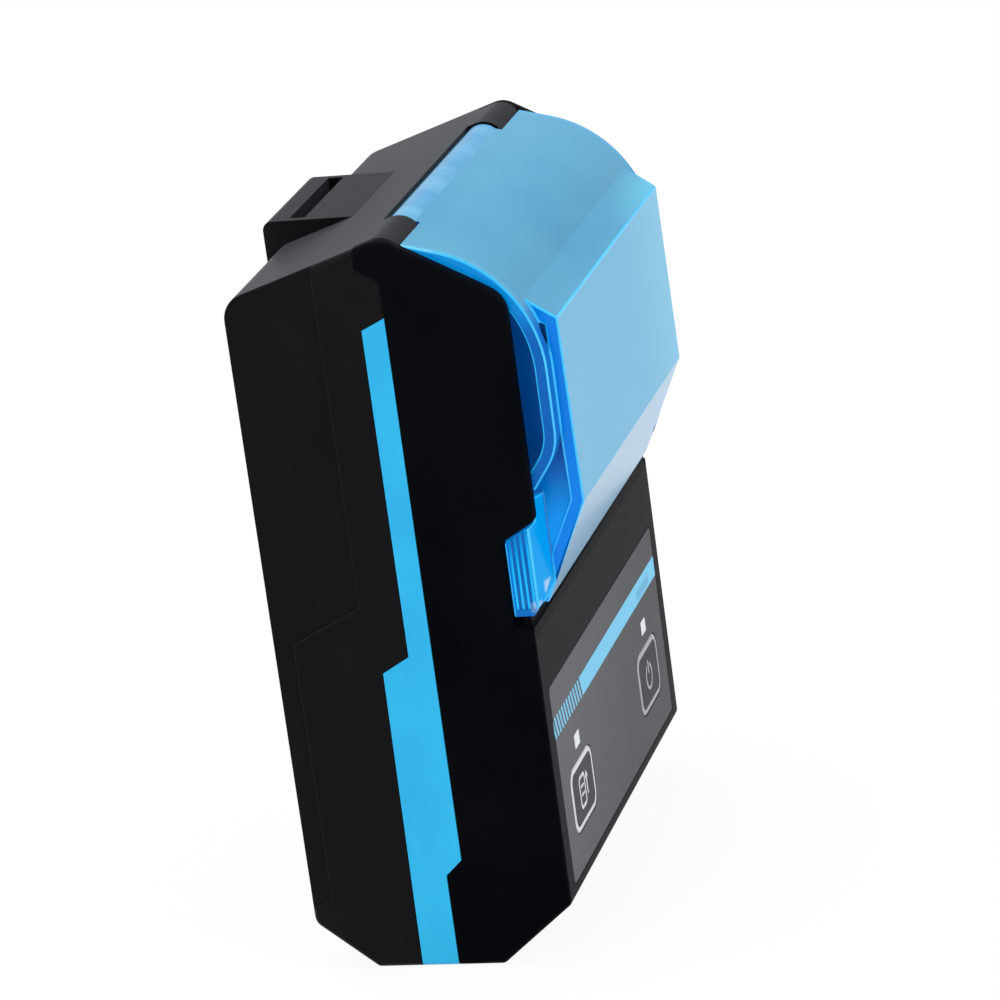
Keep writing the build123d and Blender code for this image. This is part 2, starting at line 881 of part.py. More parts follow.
def grip():
    # the ribbed finger grip that fills the notch in the left side wall, and the flank behind it
    face_x = half_width - grip_outset
    back = notch_y - grip_gap
    front = back - grip_face_depth
    flank_y = front - grip_flank_rise
    plan = [
        (-face_x, back),
        (-face_x, front),
        (-nose_half, flank_y),
        (-nose_half + 1.0, flank_y),
        (-nose_half + 1.0, flank_y + grip_thickness),
        (-nose_half - 1.6, flank_y + grip_thickness + 0.5),
        (-face_x + grip_thickness, front + 0.4),
        (-face_x + grip_thickness, back),
    ]
    low = ledge_height + grip_low_gap
    body = extrude(Plane.XY.offset(low) * area(plan), amount=grip_height)
    under_rail = [
        (notch_y + 1, notch_top_height - grip_gap),
        (notch_y, notch_top_height - grip_gap),
        (rail_y, rail_end_height - grip_gap),
        (rail_y - 2, rail_end_height - grip_gap),
        (rail_y - 2, far),
        (notch_y + 1, far),
    ]
    side_room = across(area(under_rail), -far, -(inner_half - lid_side_clearance))
    front_low = [
        (front + 0.8, low - 1),
        (front + 0.8, low),
        (flank_y, low + grip_flank_chamfer),
        (flank_y - 2, low + grip_flank_chamfer),
        (flank_y - 2, low - 1),
    ]
    body = body - side_room - across(area(front_low), -far, far)
    for i in range(groove_count):
        groove_y = back - groove_pitch * (i + 0.8)
        body = body - block((-face_x - 1, -face_x + groove_depth), around(groove_y, groove_width / 2),
                            (low + 1.0, far))
    return body


def paper_lid():
    barrel_half = barrel_length / 2
    cover = across(strip(lid_cover_path(), cover_wall, [cover_top_radius, cover_low_radius]),
                   -cover_half, cover_half)
    boss_room = rod_x(apex_radius + 0.3, (barrel_half, far), hinge_y, hinge_z)
    boss_room = boss_room + rod_x(apex_radius + 0.3, (-far, -barrel_half), hinge_y, hinge_z)
    lid = cover - boss_room
    lid = lid + rod_x(barrel_radius, (-barrel_half, barrel_half), hinge_y, hinge_z)
    lid = lid + across(strip(nose_path(), nose_wall, [0, 0]), -nose_half, nose_half)
    lid = lid + both_sides(lid_cheek(), cheek_in, cheek_out)
    lid = lid - both_sides(cheek_window(), cheek_in - 1, cheek_out + 1)
    lid = lid + mirrored(grip())
    pin_bore = rod_x(hinge_pin_radius + hinge_pin_clearance, (-barrel_half - 1, barrel_half + 1),
                     hinge_y, hinge_z)
    ear_bore = rod_x(bushing_radius + fit_clearance, (-cheek_out - 0.2, cheek_out + 0.2), platen_y, platen_z)
    ear_room = block(around(0, cheek_out + 0.2), (platen_y - 4.6, far), (0, platen_z + 5.0))
    ear_bore = ear_bore & ear_room
    gear_tip = gear_module * platen_teeth / 2 + gear_addendum
    gear_room = rod_x(gear_tip + 0.35, (-far, -cheek_out - 0.1), platen_y, platen_z)
    gear_room = gear_room & block((-nose_half - 1.6, 0), (-far, far), (0, far))
    return lid - pin_bore - ear_bore - gear_room


def lid_hinge_pin():
    half = inner_half - hinge_pin_end_inset
    return rod_x(hinge_pin_radius, (-half, half), hinge_y, hinge_z)


def platen_roller():
    sleeve = rod_x(platen_radius, around(0, platen_half), platen_y, platen_z)
    bore = rod_x(platen_shaft_radius + fit_clearance, around(0, platen_half + 1), platen_y, platen_z)
    return chamfer(sleeve.edges().filter_by(GeomType.CIRCLE), 0.3) - bore


def platen_shaft():
    left_end = inner_gear_x[0]
    right_end = cheek_out + 0.4
    shaft = rod_x(platen_shaft_radius, (left_end, right_end), platen_y, platen_z)
    return chamfer(shaft.edges().filter_by(GeomType.CIRCLE), 0.2)


def platen_bushings():
    outer = rod_x(bushing_radius, (platen_half + bushing_platen_gap, cheek_out), platen_y, platen_z)
    bore = rod_x(platen_shaft_radius + bushing_clearance, (0, far), platen_y, platen_z)
    return mirrored(outer - bore)


def involute(angle):
    return math.tan(angle) - angle


def gear_area(teeth, tooth_deg):
    # a spur gear with one tooth's middle at tooth_deg
    pressure = math.radians(gear_pressure_deg)
    pitch_radius = gear_module * teeth / 2
    base_radius = pitch_radius * math.cos(pressure)
    tip_radius = pitch_radius + gear_addendum
    root_radius = pitch_radius - gear_dedendum
    middle_half = (math.pi / 2) / teeth - gear_thinning / (2 * pitch_radius)
    start_radius = max(root_radius, base_radius)
    steps = [start_radius + (tip_radius - start_radius) * i / 3 for i in range(4)]
    flank = [(root_radius, middle_half + involute(pressure))]
    for radius in steps:
        angle = math.acos(min(1.0, base_radius / radius))
        flank.append((radius, middle_half + involute(pressure) - involute(angle)))
    if start_radius == root_radius:
        flank = flank[1:]
    points = []
    for tooth in range(teeth):
        middle = math.radians(tooth_deg) + 2 * math.pi * tooth / teeth
        rising = [(radius, middle - half) for radius, half in flank]
        falling = [(radius, middle + half) for radius, half in flank[::-1]]
        points += [(radius * math.cos(a), radius * math.sin(a)) for radius, a in rising + falling]
    return area(points)


def tooth_gap_deg(teeth, facing_deg):
    # the tooth angle that puts a gap, not a tooth, at facing_deg
    return facing_deg + 180.0 / teeth


def platen_gear():
    drawn = Pos(platen_y, platen_z) * gear_area(platen_teeth, reducer_direction_deg)
    hub = rod_x(gear_hub_radius, (inner_gear_x[1], inner_gear_x[1] + gear_hub_reach), platen_y, platen_z)
    gear = across(drawn, *inner_gear_x) + hub
    return gear - rod_x(platen_shaft_radius + fit_clearance, (-far, 0), platen_y, platen_z)


def reduction_gear():
    small_facing = reducer_direction_deg + 180.0
    small = Pos(reducer_y, reducer_z) * gear_area(
        reducer_small_teeth, tooth_gap_deg(reducer_small_teeth, small_facing))
    large = Pos(reducer_y, reducer_z) * gear_area(reducer_large_teeth, motor_direction_deg)
    small_x = (outer_gear_x[1] - 0.1, inner_gear_x[1])
    gear = across(large, *outer_gear_x) + across(small, *small_x)
    return gear - rod_x(gear_axle_radius + axle_clearance, (-far, 0), reducer_y, reducer_z)


def gear_axle():
    ends = (outer_gear_x[0] - 0.3, -chassis_in)
    axle = rod_x(gear_axle_radius, ends, reducer_y, reducer_z)
    collar_x = (inner_gear_x[1] + 0.1, -chassis_out)
    return axle + rod_x(2 * gear_axle_radius, collar_x, reducer_y, reducer_z)


def motor_pinion():
    facing = motor_direction_deg + 180.0
    drawn = Pos(motor_y, motor_z) * gear_area(pinion_teeth, tooth_gap_deg(pinion_teeth, facing))
    shaft = rod_x(gear_axle_radius, (outer_gear_x[0], -chassis_in + 1.2), motor_y, motor_z)
    return across(drawn, *outer_gear_x) + shaft


def motor_ear_places():
    return [(motor_y, motor_z - motor_ear_offset), (motor_y, motor_z + motor_ear_offset)]


def stepper_motor():
    face_x = -chassis_in
    can = rod_x(motor_radius, (face_x + motor_flange, face_x + motor_flange + motor_length), motor_y, motor_z)
    can = fillet(can.edges().filter_by(GeomType.CIRCLE), 0.6)
    flange_outline = Pos(motor_y, motor_z) * SlotCenterToCenter(
        2 * motor_ear_offset, 2 * motor_ear_radius, rotation=90)
    flange = across(flange_outline, face_x, face_x + motor_flange)
    flange = flange + rod_x(motor_radius - 0.4, (face_x, face_x + motor_flange + 0.1), motor_y, motor_z)
    motor = can + flange
    motor = motor - rod_x(gear_axle_radius + axle_clearance, (face_x - 1, face_x + 2.0), motor_y, motor_z)
    for y, z in motor_ear_places():
        motor = motor - rod_x(small_screw_radius + thread_gap, (face_x - 1, face_x + 2), y, z)
    return motor


def bin_sector(radius, from_deg, to_deg):
    # the part of a disc between two angles, as seen from the side
    middle_deg = (from_deg + to_deg) / 2
    start = polar(0, 0, radius, from_deg)
    middle = polar(0, 0, radius, middle_deg)
    end = polar(0, 0, radius, to_deg)
    edge = [Line((0, 0), start), ThreePointArc(start, middle, end), Line(end, (0, 0))]
    return make_face(edge)


def paper_bin():
    # the trough behind the roll, with a cheek and a deck at each end
    bin_front_deg = -math.degrees(math.acos((bin_front_y - bin_y) / bin_outer_radius))
    sector = bin_sector(bin_outer_radius, bin_front_deg, bin_top_deg)
    trough = Pos(bin_y, bin_z) * (sector - Circle(bin_radius))
    cheek_half = bin_half + bin_wall
    cheek_back = Pos(bin_y, bin_z) * Circle(bin_outer_radius)
    cheek_top = bin_z + bin_outer_radius * math.sin(math.radians(bin_top_deg))
    cheek_room = area([
        (bin_y - bin_cheek_front, bin_z - far),
        (far, bin_z - far),
        (far, cheek_top),
        (bin_y - bin_cheek_front, cheek_top),
    ])
    cheek = cheek_back & cheek_room
    piece = across(trough, -cheek_half, cheek_half) + both_sides(cheek, bin_half, cheek_half)
    deck_z = (reducer_z + gear_module * reducer_large_teeth / 2 + 1.0, hinge_z - apex_radius - 1.6)
    deck_x = (bin_half + bin_wall / 2, inner_half - bin_gap)
    deck = block(deck_x, (deck_y, deck_y + bin_deck_thickness), deck_z)
    sensor_room = block(around(sensor_x, sensor_size[0] / 2 + sensor_gap),
                        (bar_y - sensor_size[1] - sensor_gap, bar_y + sensor_gap),
                        (bin_z - bin_outer_radius - 1, bin_z))
    return piece + mirrored(deck) - sensor_room


def paper_sensor():
    # reflective sensor on the chassis bar, looking up through the bin's floor
    low = chassis_top - sensor_size[2] + 1.0
    body = block(around(sensor_x, sensor_size[0] / 2), (bar_y - sensor_size[1], bar_y),
                 (low, low + sensor_size[2]))
    eye_y = bar_y - sensor_size[1] / 2
    for offset in (-1, 1):
        body = body - rod_z(0.6, sensor_x + offset, eye_y, (low + sensor_size[2] - 0.4, far))
    return body


def print_head():
    # ceramic strip with a raised heater line and the driver chips' cover below it
    low = head_plate_top - head_plate_height
    plate = block(around(0, head_half), (head_y, heat_sink_y), (low, head_plate_top))
    heater = rod_x(heater_radius, around(0, platen_half - 1), head_y + heater_radius - 0.1, platen_z)
    cover = block(around(0, head_half - 4), (head_y - head_cover_rise, head_y + 0.2),
                  (low + 0.3, low + 0.3 + head_cover_height))
    return plate + heater + cover


def head_heat_sink():
    plate = block(around(0, head_half), (heat_sink_y, heat_sink_back),
                  (heat_sink_low, heat_sink_low + heat_sink_height))
    pivots = rod_x(head_pivot_radius, around(0, chassis_in + head_pivot_length), head_pivot_y, head_pivot_z)
    sink = plate + pivots
    for i in range(9):
        fin_x = (i - 4) * fin_pitch
        sink = sink - block(around(fin_x, fin_gap / 2), (heat_sink_back - fin_depth, far),
                            (head_pivot_z + head_pivot_radius + 0.2, spring_z - spring_radius - 0.8))
    return sink


def head_springs():
    # two coil springs between the chassis bar and the heat sink
    coil_radius = spring_radius - spring_wire / 2
    height = spring_length - spring_wire
    path = Helix(pitch=height / spring_turns, height=height, radius=coil_radius)
    start = path @ 0
    section = Plane(origin=start, z_dir=path % 0) * Circle(spring_wire / 2)
    coil = sweep(section, path=path, is_frenet=True)
    placed = [
        Pos(x, bar_y - spring_wire / 2, spring_z) * Rot(90, 0, 0) * coil
        for x in (-spring_spacing / 2, spring_spacing / 2)
    ]
    return join(placed)


def chassis_side():
    # one side plate's outline, with the open notch that takes the platen's bushing
    front = platen_y - notch_lead
    low_front = head_y - 1.0
    front_low = platen_z - chassis_front_below_platen
    low = platen_z - chassis_low_below_platen
    back = bay_front - bay_wall - 0.8
    under_motor = motor_y - motor_ear_radius - 1.6
    outline = [
        (low_front, foot_z),
        (low_front, front_low),
        (front, front_low),
        (front, chassis_top),
        (back, chassis_top),
        (back, low),
        (under_motor, low),
        (under_motor, foot_z),
    ]
    plate = area(outline)
    notch_half = bushing_radius + notch_clearance
    plate = plate - Pos(platen_y, platen_z) * Circle(notch_half)
    return plate - Pos(platen_y - far / 2, platen_z) * Rectangle(far, 2 * notch_half)


def mechanism_chassis():
    plates = both_sides(chassis_side(), chassis_in, chassis_out)
    bar = block(around(0, chassis_out), (bar_y, bar_y + chassis_bar_thickness),
                (chassis_top - chassis_bar_height, chassis_top))
    foot = block((chassis_in, chassis_out + chassis_foot_length), foot_y,
                 (foot_z, foot_z + chassis_foot_thickness))
    frame = plates + bar + mirrored(foot)
    frame = frame - rod_x(head_pivot_radius + 0.06, around(0, far), head_pivot_y, head_pivot_z)
    frame = frame - rod_x(gear_axle_radius + fit_clearance, (-far, 0), reducer_y, reducer_z)
    frame = frame - rod_x(gear_axle_radius + 0.4, (-far, 0), motor_y, motor_z)
    for y, z in motor_ear_places():
        frame = frame - rod_x(small_screw_radius + thread_gap, (-far, 0), y, z)
    for side in (-1, 1):
        frame = frame - rod_z(small_screw_radius + thread_gap, side * foot_screw_x, foot_screw_y, (0, far))
    return frame


def tear_bar():
    # an angle of sheet steel on the shelf behind the lip, with a saw edge
    back = panel_y + lip_thickness + 0.05
    top = lip_height + tear_rise
    blade = block(around(0, platen_half), (back, back + tear_blade), (opening_low, top))
    foot = block(around(0, platen_half), (back, back + tear_foot_depth),
                 (opening_low, opening_low + tear_blade))
    count = int(platen_length / tear_tooth_pitch)
    cut = area([(-tear_tooth_pitch / 2, 0), (tear_tooth_pitch / 2, 0), (0, -tear_tooth_depth)])
    cuts = [Pos((i - (count - 1) / 2) * tear_tooth_pitch, top) * cut for i in range(count)]
    teeth = extrude(Plane.XZ.offset(-back + 1) * join(cuts), amount=-3)
    return blade + foot - teeth


def main_board():
    # board with a tongue that carries the charging socket
    board = block(around(0, board_half), (board_y, board_back), (board_low, board_high))
    tongue_end = half_width - socket_setback - socket_tongue_inset - 0.2
    board = board + block((board_half - 1, tongue_end), (board_y, board_back),
                          around(socket_z, socket_width / 2 + socket_board_margin))
    for x, z in board_screw_places:
        for side in (-1, 1):
            board = board - rod_y(small_screw_radius + 0.15, side * x, (board_y - 1, board_back + 1), z)
    return board


def board_components():
    # chips and a radio can on the board's back, and at its top the print head's connector
    places = [(x, board_low + up, width, height, rise) for x, up, width, height, rise in chips]
    x, drop, width, height, rise = upper_chip
    places.append((x, board_high - drop, width, height, rise))
    connector_width = 2 * (head_flex_half + head_connector_side)
    connector_z = board_high - head_connector_drop
    places.append((0.0, connector_z, connector_width, head_connector_height, head_connector_rise))
    return join([
        block(around(x, width / 2), (board_back, board_back + rise), around(z, height / 2))
        for x, z, width, height, rise in places])


def tact_switches():
    places = []
    for x in key_places:
        body = block(around(x, switch_size / 2), (board_y - switch_body, board_y),
                     around(key_height, switch_size / 2))
        plunger = rod_y(switch_plunger_radius, x,
                        (board_y - switch_body - switch_plunger, board_y - switch_body + 0.1), key_height)
        places.append(body + plunger)
    return join(places)


def key(x):
    # a key cap flush with the label, its holding flange behind the panel and its stem
    cap = plate_y(*key_size, key_corner, x, (panel_y, inner_panel_y + 0.1), key_height)
    cap = fillet(cap.faces().sort_by(Axis.Y)[0].edges(), key_edge_round)
    flange = plate_y(key_size[0] + 2 * key_flange, key_size[1] + 2 * key_flange, key_corner, x,
                     (inner_panel_y + 0.05, inner_panel_y + 0.05 + key_flange_thickness), key_height)
    stem_end = board_y - switch_body - switch_plunger - key_travel - key_rest_gap
    stem = rod_y(key_stem_radius, x, (inner_panel_y, stem_end), key_height)
    return cap + flange + stem


def control_label():
    label_y = (panel_y, panel_y + label_thickness)
    label = plate_y(2 * label_half, label_height, label_corner, 0, label_y, label_z)
    return label - panel_openings((panel_y - 1, panel_y + 1))


def led_windows():
    guides = []
    for x in lamp_places:
        face = plate_y(*lamp_size, lamp_corner, x, (panel_y, inner_panel_y), lamp_height)
        tail = rod_y(min(lamp_size) / 2, x, (inner_panel_y - 0.1, board_y - led_thickness - 0.1), lamp_height)
        collar = rod_y(min(lamp_size) / 2 + lamp_collar, x,
                       (inner_panel_y, inner_panel_y + lamp_collar_thickness), lamp_height)
        guides.append(face + collar + tail)
    return join(guides)


def status_leds():
    return join([
        block(around(x, led_size[0] / 2), (board_y - led_thickness, board_y),
              around(lamp_height, led_size[1] / 2))
        for x in lamp_places])


def usb_socket():
    # a steel shell with a contact tongue, open to the right
    end = half_width - socket_setback
    outer = block((end - socket_length, end), (board_back, board_back + socket_thickness),
                  around(socket_z, socket_width / 2))
    outer = fillet(outer.edges().filter_by(Axis.X), 2 * socket_wall)
    inner = block((end - socket_length + 0.8, end + 1), around(socket_y, socket_thickness / 2 - socket_wall),
                  around(socket_z, socket_width / 2 - socket_wall))
    tongue = block((end - socket_length + 0.5, end - socket_tongue_inset),
                   around(socket_y, socket_tongue / 2), around(socket_z, socket_width / 2 - 1.6))
    return outer - inner + tongue


def battery_pack():
    y_range = (bay_front + battery_gap, bay_front + battery_gap + battery_thickness)
    low = bay_low + battery_gap
    pack = block(around(0, bay_half - battery_gap), y_range, (low, low + battery_height))
    pack = fillet(pack.edges().filter_by(Axis.Z), battery_round)
    return fillet(pack.faces().sort_by(Axis.Z)[0].edges() + pack.faces().sort_by(Axis.Z)[-1].edges(), 0.8)


def battery_contacts():
    # bent spring blades on the bay's upper wall, pressing on the pack's top end
    low = bay_low + battery_gap + battery_height + 0.1
    high = bay_high - 0.02
    front = bay_front + contact_setback
    bend = front + contact_foot + contact_bend
    path = [
        (front, high),
        (front + contact_foot, high),
        (bend, (low + high) / 2 + 0.2),
        (bend - contact_return, low + 0.4),
    ]
    blade_face = strip(path, -contact_thickness, [0.6, 0.5])
    blades = []
    for i in range(contact_count):
        x = (i - (contact_count - 1) / 2) * contact_pitch
        blades.append(across(blade_face, x - contact_width / 2, x + contact_width / 2))
    return join(blades)


def battery_door():
    width = door_width - 2 * door_gap
    height = door_z[1] - door_z[0] - 2 * door_gap
    middle = sum(door_z) / 2
    door = plate_y(width, height, door_corner, 0, (back_y - door_thickness, back_y), middle)
    for i in range(door_ridges):
        z = middle + height / 2 - door_ridge_drop - door_ridge_pitch * i
        door = door - block(around(0, door_ridge_length / 2), (back_y - door_ridge_depth, far),
                            around(z, door_ridge_pitch / 4))
    return door


def screw(radius, length, head_radius, head_height):
    # a pan-head screw along Z: its head stands on z = 0 and its shank runs down
    shank = Pos(0, 0, -length / 2) * Cylinder(radius, length)
    head = Pos(0, 0, head_height / 2) * Cylinder(head_radius, head_height)
    head = fillet(head.edges().sort_by(Axis.Z)[-1], head_height * 0.35)
    slot_length = 1.4 * head_radius
    slot = Box(slot_length, screw_slot_width, head_height) + Box(screw_slot_width, slot_length, head_height)
    slot = Pos(0, 0, head_height) * slot
    return shank + head - slot


def case_screws():
    one = screw(case_screw_radius, case_screw_length, case_screw_head_radius, case_screw_head_height)
    return join([
        Pos(side * case_screw_x, case_screw_seat, height) * Rot(-90, 0, 0) * one
        for side in (-1, 1) for height in case_screw_heights])


def small_screw():
    return screw(small_screw_radius, small_screw_length, small_screw_head_radius, small_screw_head_height)


def board_screws():
    return join([
        Pos(side * x, board_back, z) * Rot(-90, 0, 0) * small_screw()
        for side in (-1, 1) for x, z in board_screw_places])


def chassis_screws():
    top = foot_z + chassis_foot_thickness
    return join([Pos(side * foot_screw_x, foot_screw_y, top) * small_screw() for side in (-1, 1)])


def motor_screws():
    face_x = -chassis_in + motor_flange
    one = screw(small_screw_radius, motor_flange + chassis_plate, small_screw_head_radius,
                small_screw_head_height)
    return join([Pos(face_x, y, z) * Rot(0, 90, 0) * one for y, z in motor_ear_places()])


def head_flex_cable():
    # flat cable from the print head's lower edge to the board's connector
    top = head_plate_top - head_plate_height - 0.1
    start_y = head_y + flex_thickness
    run_y = board_back + 0.3
    connector_top = board_high - head_connector_drop + head_connector_height / 2
    path = [(start_y, top), (start_y, top - 1.6), (run_y, board_high + 0.8), (run_y, connector_top + 0.1)]
    flat = strip(path, -flex_thickness, [flex_bend, flex_bend])
    return across(flat, -head_flex_half, head_flex_half)


def motor_flex_cable():
    # flat lead from the motor's end to the board's small connector
    end_x = -chassis_in + motor_flange + motor_length
    path = [
        (end_x + 0.1, motor_y),
        (end_x + 1.6, motor_y),
        (end_x + 1.6, board_back + 0.7),
        (end_x - 4.0, board_back + 0.7),
    ]
    flat = strip(path, flex_thickness, [flex_bend, flex_bend])
    return extrude(Plane.XY.offset(motor_z - motor_flex_drop) * flat, amount=motor_flex_width)


nodes = {
    "front_shell": front_shell,
    "rear_shell": rear_shell,
    "trim_band": trim_band,
    "paper_lid": paper_lid,
    "lid_hinge_pin": lid_hinge_pin,
    "platen_roller": platen_roller,
    "platen_shaft": platen_shaft,
    "platen_bushings": platen_bushings,
    "platen_gear": platen_gear,
    "reduction_gear": reduction_gear,
    "gear_axle": gear_axle,
    "motor_pinion": motor_pinion,
    "stepper_motor": stepper_motor,
    "paper_bin": paper_bin,
    "paper_sensor": paper_sensor,
    "print_head": print_head,
    "head_heat_sink": head_heat_sink,
    "head_springs": head_springs,
    "mechanism_chassis": mechanism_chassis,
    "tear_bar": tear_bar,
    "main_board": main_board,
    "board_components": board_components,
    "tact_switches": tact_switches,
    "feed_key": lambda: key(key_places[0]),
    "power_key": lambda: key(key_places[1]),
    "control_label": control_label,
    "led_windows": led_windows,
    "status_leds": status_leds,
    "usb_socket": usb_socket,
    "battery_pack": battery_pack,
    "battery_contacts": battery_contacts,
    "battery_door": battery_door,
    "case_screws": case_screws,
    "board_screws": board_screws,
    "chassis_screws": chassis_screws,
    "motor_screws": motor_screws,
    "head_flex_cable": head_flex_cable,
    "motor_flex_cable": motor_flex_cable,
}

os.makedirs("parts", exist_ok=True)
for name, make in nodes.items():
    export_step(make(), "parts/" + name + ".step")
    print(name)
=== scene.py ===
import bpy
import math
from mathutils import Matrix, Vector


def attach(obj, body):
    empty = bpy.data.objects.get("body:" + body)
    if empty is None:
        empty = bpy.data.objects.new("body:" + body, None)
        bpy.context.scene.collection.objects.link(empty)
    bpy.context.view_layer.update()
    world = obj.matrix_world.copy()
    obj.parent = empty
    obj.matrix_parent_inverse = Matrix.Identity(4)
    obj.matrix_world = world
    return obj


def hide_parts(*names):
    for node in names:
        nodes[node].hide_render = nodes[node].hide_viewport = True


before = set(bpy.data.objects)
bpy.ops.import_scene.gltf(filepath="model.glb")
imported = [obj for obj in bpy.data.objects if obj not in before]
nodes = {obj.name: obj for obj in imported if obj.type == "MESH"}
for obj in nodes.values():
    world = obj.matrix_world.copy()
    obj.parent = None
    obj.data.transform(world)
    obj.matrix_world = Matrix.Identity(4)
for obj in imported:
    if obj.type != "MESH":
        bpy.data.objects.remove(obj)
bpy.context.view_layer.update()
print("frame loaded")


# Shader maths

class Wire:
    # a shader socket that takes part in plain arithmetic
    def __init__(self, graph, socket):
        self.graph = graph
        self.socket = socket

    def __add__(self, other):
        return self.graph.maths("ADD", self, other)

    def __radd__(self, other):
        return self.graph.maths("ADD", other, self)

    def __sub__(self, other):
        return self.graph.maths("SUBTRACT", self, other)

    def __rsub__(self, other):
        return self.graph.maths("SUBTRACT", other, self)

    def __mul__(self, other):
        return self.graph.maths("MULTIPLY", self, other)

    def __rmul__(self, other):
        return self.graph.maths("MULTIPLY", other, self)

    def __truediv__(self, other):
        return self.graph.maths("DIVIDE", self, other)

    def __rtruediv__(self, other):
        return self.graph.maths("DIVIDE", other, self)

    def __abs__(self):
        return self.graph.maths("ABSOLUTE", self)


class Graph:
    # a node tree and the ways to build a pattern in it
    def __init__(self, tree):
        self.tree = tree
        self.tree.nodes.clear()

    def join(self, socket, value):
        if isinstance(value, Wire):
            self.tree.links.new(value.socket, socket)
        else:
            socket.default_value = value

    def node(self, kind, settings=None, values=None, output=0):
        # settings come first, because they can change which sockets there are
        made = self.tree.nodes.new(kind)
        for setting, value in (settings or {}).items():
            setattr(made, setting, value)
        for socket, value in (values or {}).items():
            self.join(made.inputs[socket], value)
        return Wire(self, made.outputs[output]) if made.outputs else None

    def maths(self, operation, first, second=0.0):
        return self.node("ShaderNodeMath", {"operation": operation}, {0: first, 1: second})

    def larger(self, first, second):
        return self.maths("MAXIMUM", first, second)

    def fraction(self, value):
        return self.maths("FRACT", value)

    def length(self, first, second):
        return self.maths("SQRT", first * first + second * second)

    def parts(self, vector):
        split = self.node("ShaderNodeSeparateXYZ", {}, {0: vector}).socket.node
        return [Wire(self, output) for output in split.outputs]

    def place(self):
        # the point on the piece, in metres
        return self.node("ShaderNodeTexCoord", output="Object")

    def inMillimetres(self):
        return [part * 1000.0 for part in self.parts(self.place())]

    def acrossAndUp(self):
        # x and z, for a piece that faces the front or the back
        return self.inMillimetres()[::2]

    def normal(self):
        return self.parts(self.node("ShaderNodeTexCoord", output="Normal"))

    def noise(self, scale, detail=3.0, roughness=0.5, stretch=None):
        point = self.place()
        if stretch:
            point = self.node("ShaderNodeMapping", {}, {"Vector": point, "Scale": stretch})
        return self.node("ShaderNodeTexNoise", {}, {
            "Vector": point, "Scale": scale, "Detail": detail, "Roughness": roughness})

    def spread(self, value, low, high, newLow=0.0, newHigh=1.0):
        # value from low to high becomes newLow to newHigh, held at the ends
        return self.node("ShaderNodeMapRange", {"interpolation_type": "SMOOTHSTEP"}, {
            "Value": value, "From Min": low, "From Max": high,
            "To Min": newLow, "To Max": newHigh})

    def clouds(self, scale, detail=3.0, roughness=0.5, stretch=None):
        # soft patches, from 0 to 1
        return self.spread(self.noise(scale, detail, roughness, stretch), 0.3, 0.7)

    def between(self, value, low, high, soft):
        # 1 from low to high, with soft edges
        middle = (low + high) / 2
        half = (high - low) / 2
        return self.spread(abs(value - middle), half + soft, half - soft)

    def line(self, away, width, soft=0.05):
        # 1 along the curve where away is 0
        return self.spread(abs(away), width / 2 + soft, width / 2 - soft)

    def uneven(self, level, grain, amount):
        # a level that the grain moves up and down
        return level + (grain - 0.5) * amount

    def blend(self, mask, first, second):
        # inputs 6 and 7 and output 2 are the Mix node's colours
        return self.node("ShaderNodeMix", {"data_type": "RGBA"},
                         {0: mask, 6: first, 7: second}, output=2)


class Finish(Graph):
    # one material with a Principled shader, whose sockets are named with _ for a space
    def __init__(self, name, **sockets):
        self.material = bpy.data.materials.new(name)
        self.material.use_nodes = True
        super().__init__(self.material.node_tree)
        principled = self.node("ShaderNodeBsdfPrincipled")
        self.node("ShaderNodeOutputMaterial", {}, {0: principled})
        self.shader = principled.socket.node
        for socket, value in sockets.items():
            self.feed(socket.replace("_", " "), value)

    def feed(self, socket, value):
        self.join(self.shader.inputs[socket], value)

    def bump(self, height, distance, strength):
        self.feed("Normal", self.node("ShaderNodeBump", {}, {
            "Height": height, "Distance": distance, "Strength": strength}))


def colour(red, green, blue):
    # a screen colour, 0 to 255, as a shader wants it
    def one(value):
        value = value / 255
        return value / 12.92 if value <= 0.04045 else ((value + 0.055) / 1.055) ** 2.4
    return (one(red), one(green), one(blue), 1.0)


white = (1.0, 1.0, 1.0, 1.0)
black = (0.0, 0.0, 0.0, 1.0)


def cover(mesh, *finishes):
    mesh.materials.clear()
    for finish in finishes:
        mesh.materials.append(finish.material)


def paint(finish, *names):
    for name in names:
        cover(nodes[name].data, finish)


# Camera

view = {
    "place": (-0.71398, -0.21093, 0.29708),
    "right": (0.231569, -0.964144, -0.129627),
    "down": (-0.328028, 0.048058, -0.943445),
    "ahead": (0.915846, 0.260993, -0.305137),
    "lens": 185.307,
    "sensor": 36.0,
    "nearest": 0.01,
}


def makeCamera(look):
    data = bpy.data.cameras.new("camera")
    data.sensor_fit = "HORIZONTAL"
    data.sensor_width = look["sensor"]
    data.lens = look["lens"]
    data.clip_start = look["nearest"]
    camera = bpy.data.objects.new("camera", data)
    bpy.context.scene.collection.objects.link(camera)
    columns = [Vector(look["right"]), -Vector(look["down"]), -Vector(look["ahead"])]
    turned = Matrix([[columns[c][r] for c in range(3)] for r in range(3)])
    camera.matrix_world = Matrix.Translation(look["place"]) @ turned.to_4x4()
    bpy.context.scene.camera = camera


makeCamera(view)
print("camera made")


# Copies of CAD nodes with softened edges

softening = {
    "merge": 0.000002,  # metres
    "flat": math.radians(0.5),
    "smooth": math.radians(20.0),
    "segments": 2,
    "flatten": 100,
}


def selectOnly(piece):
    bpy.ops.object.select_all(action="DESELECT")
    piece.select_set(True)
    bpy.context.view_layer.objects.active = piece


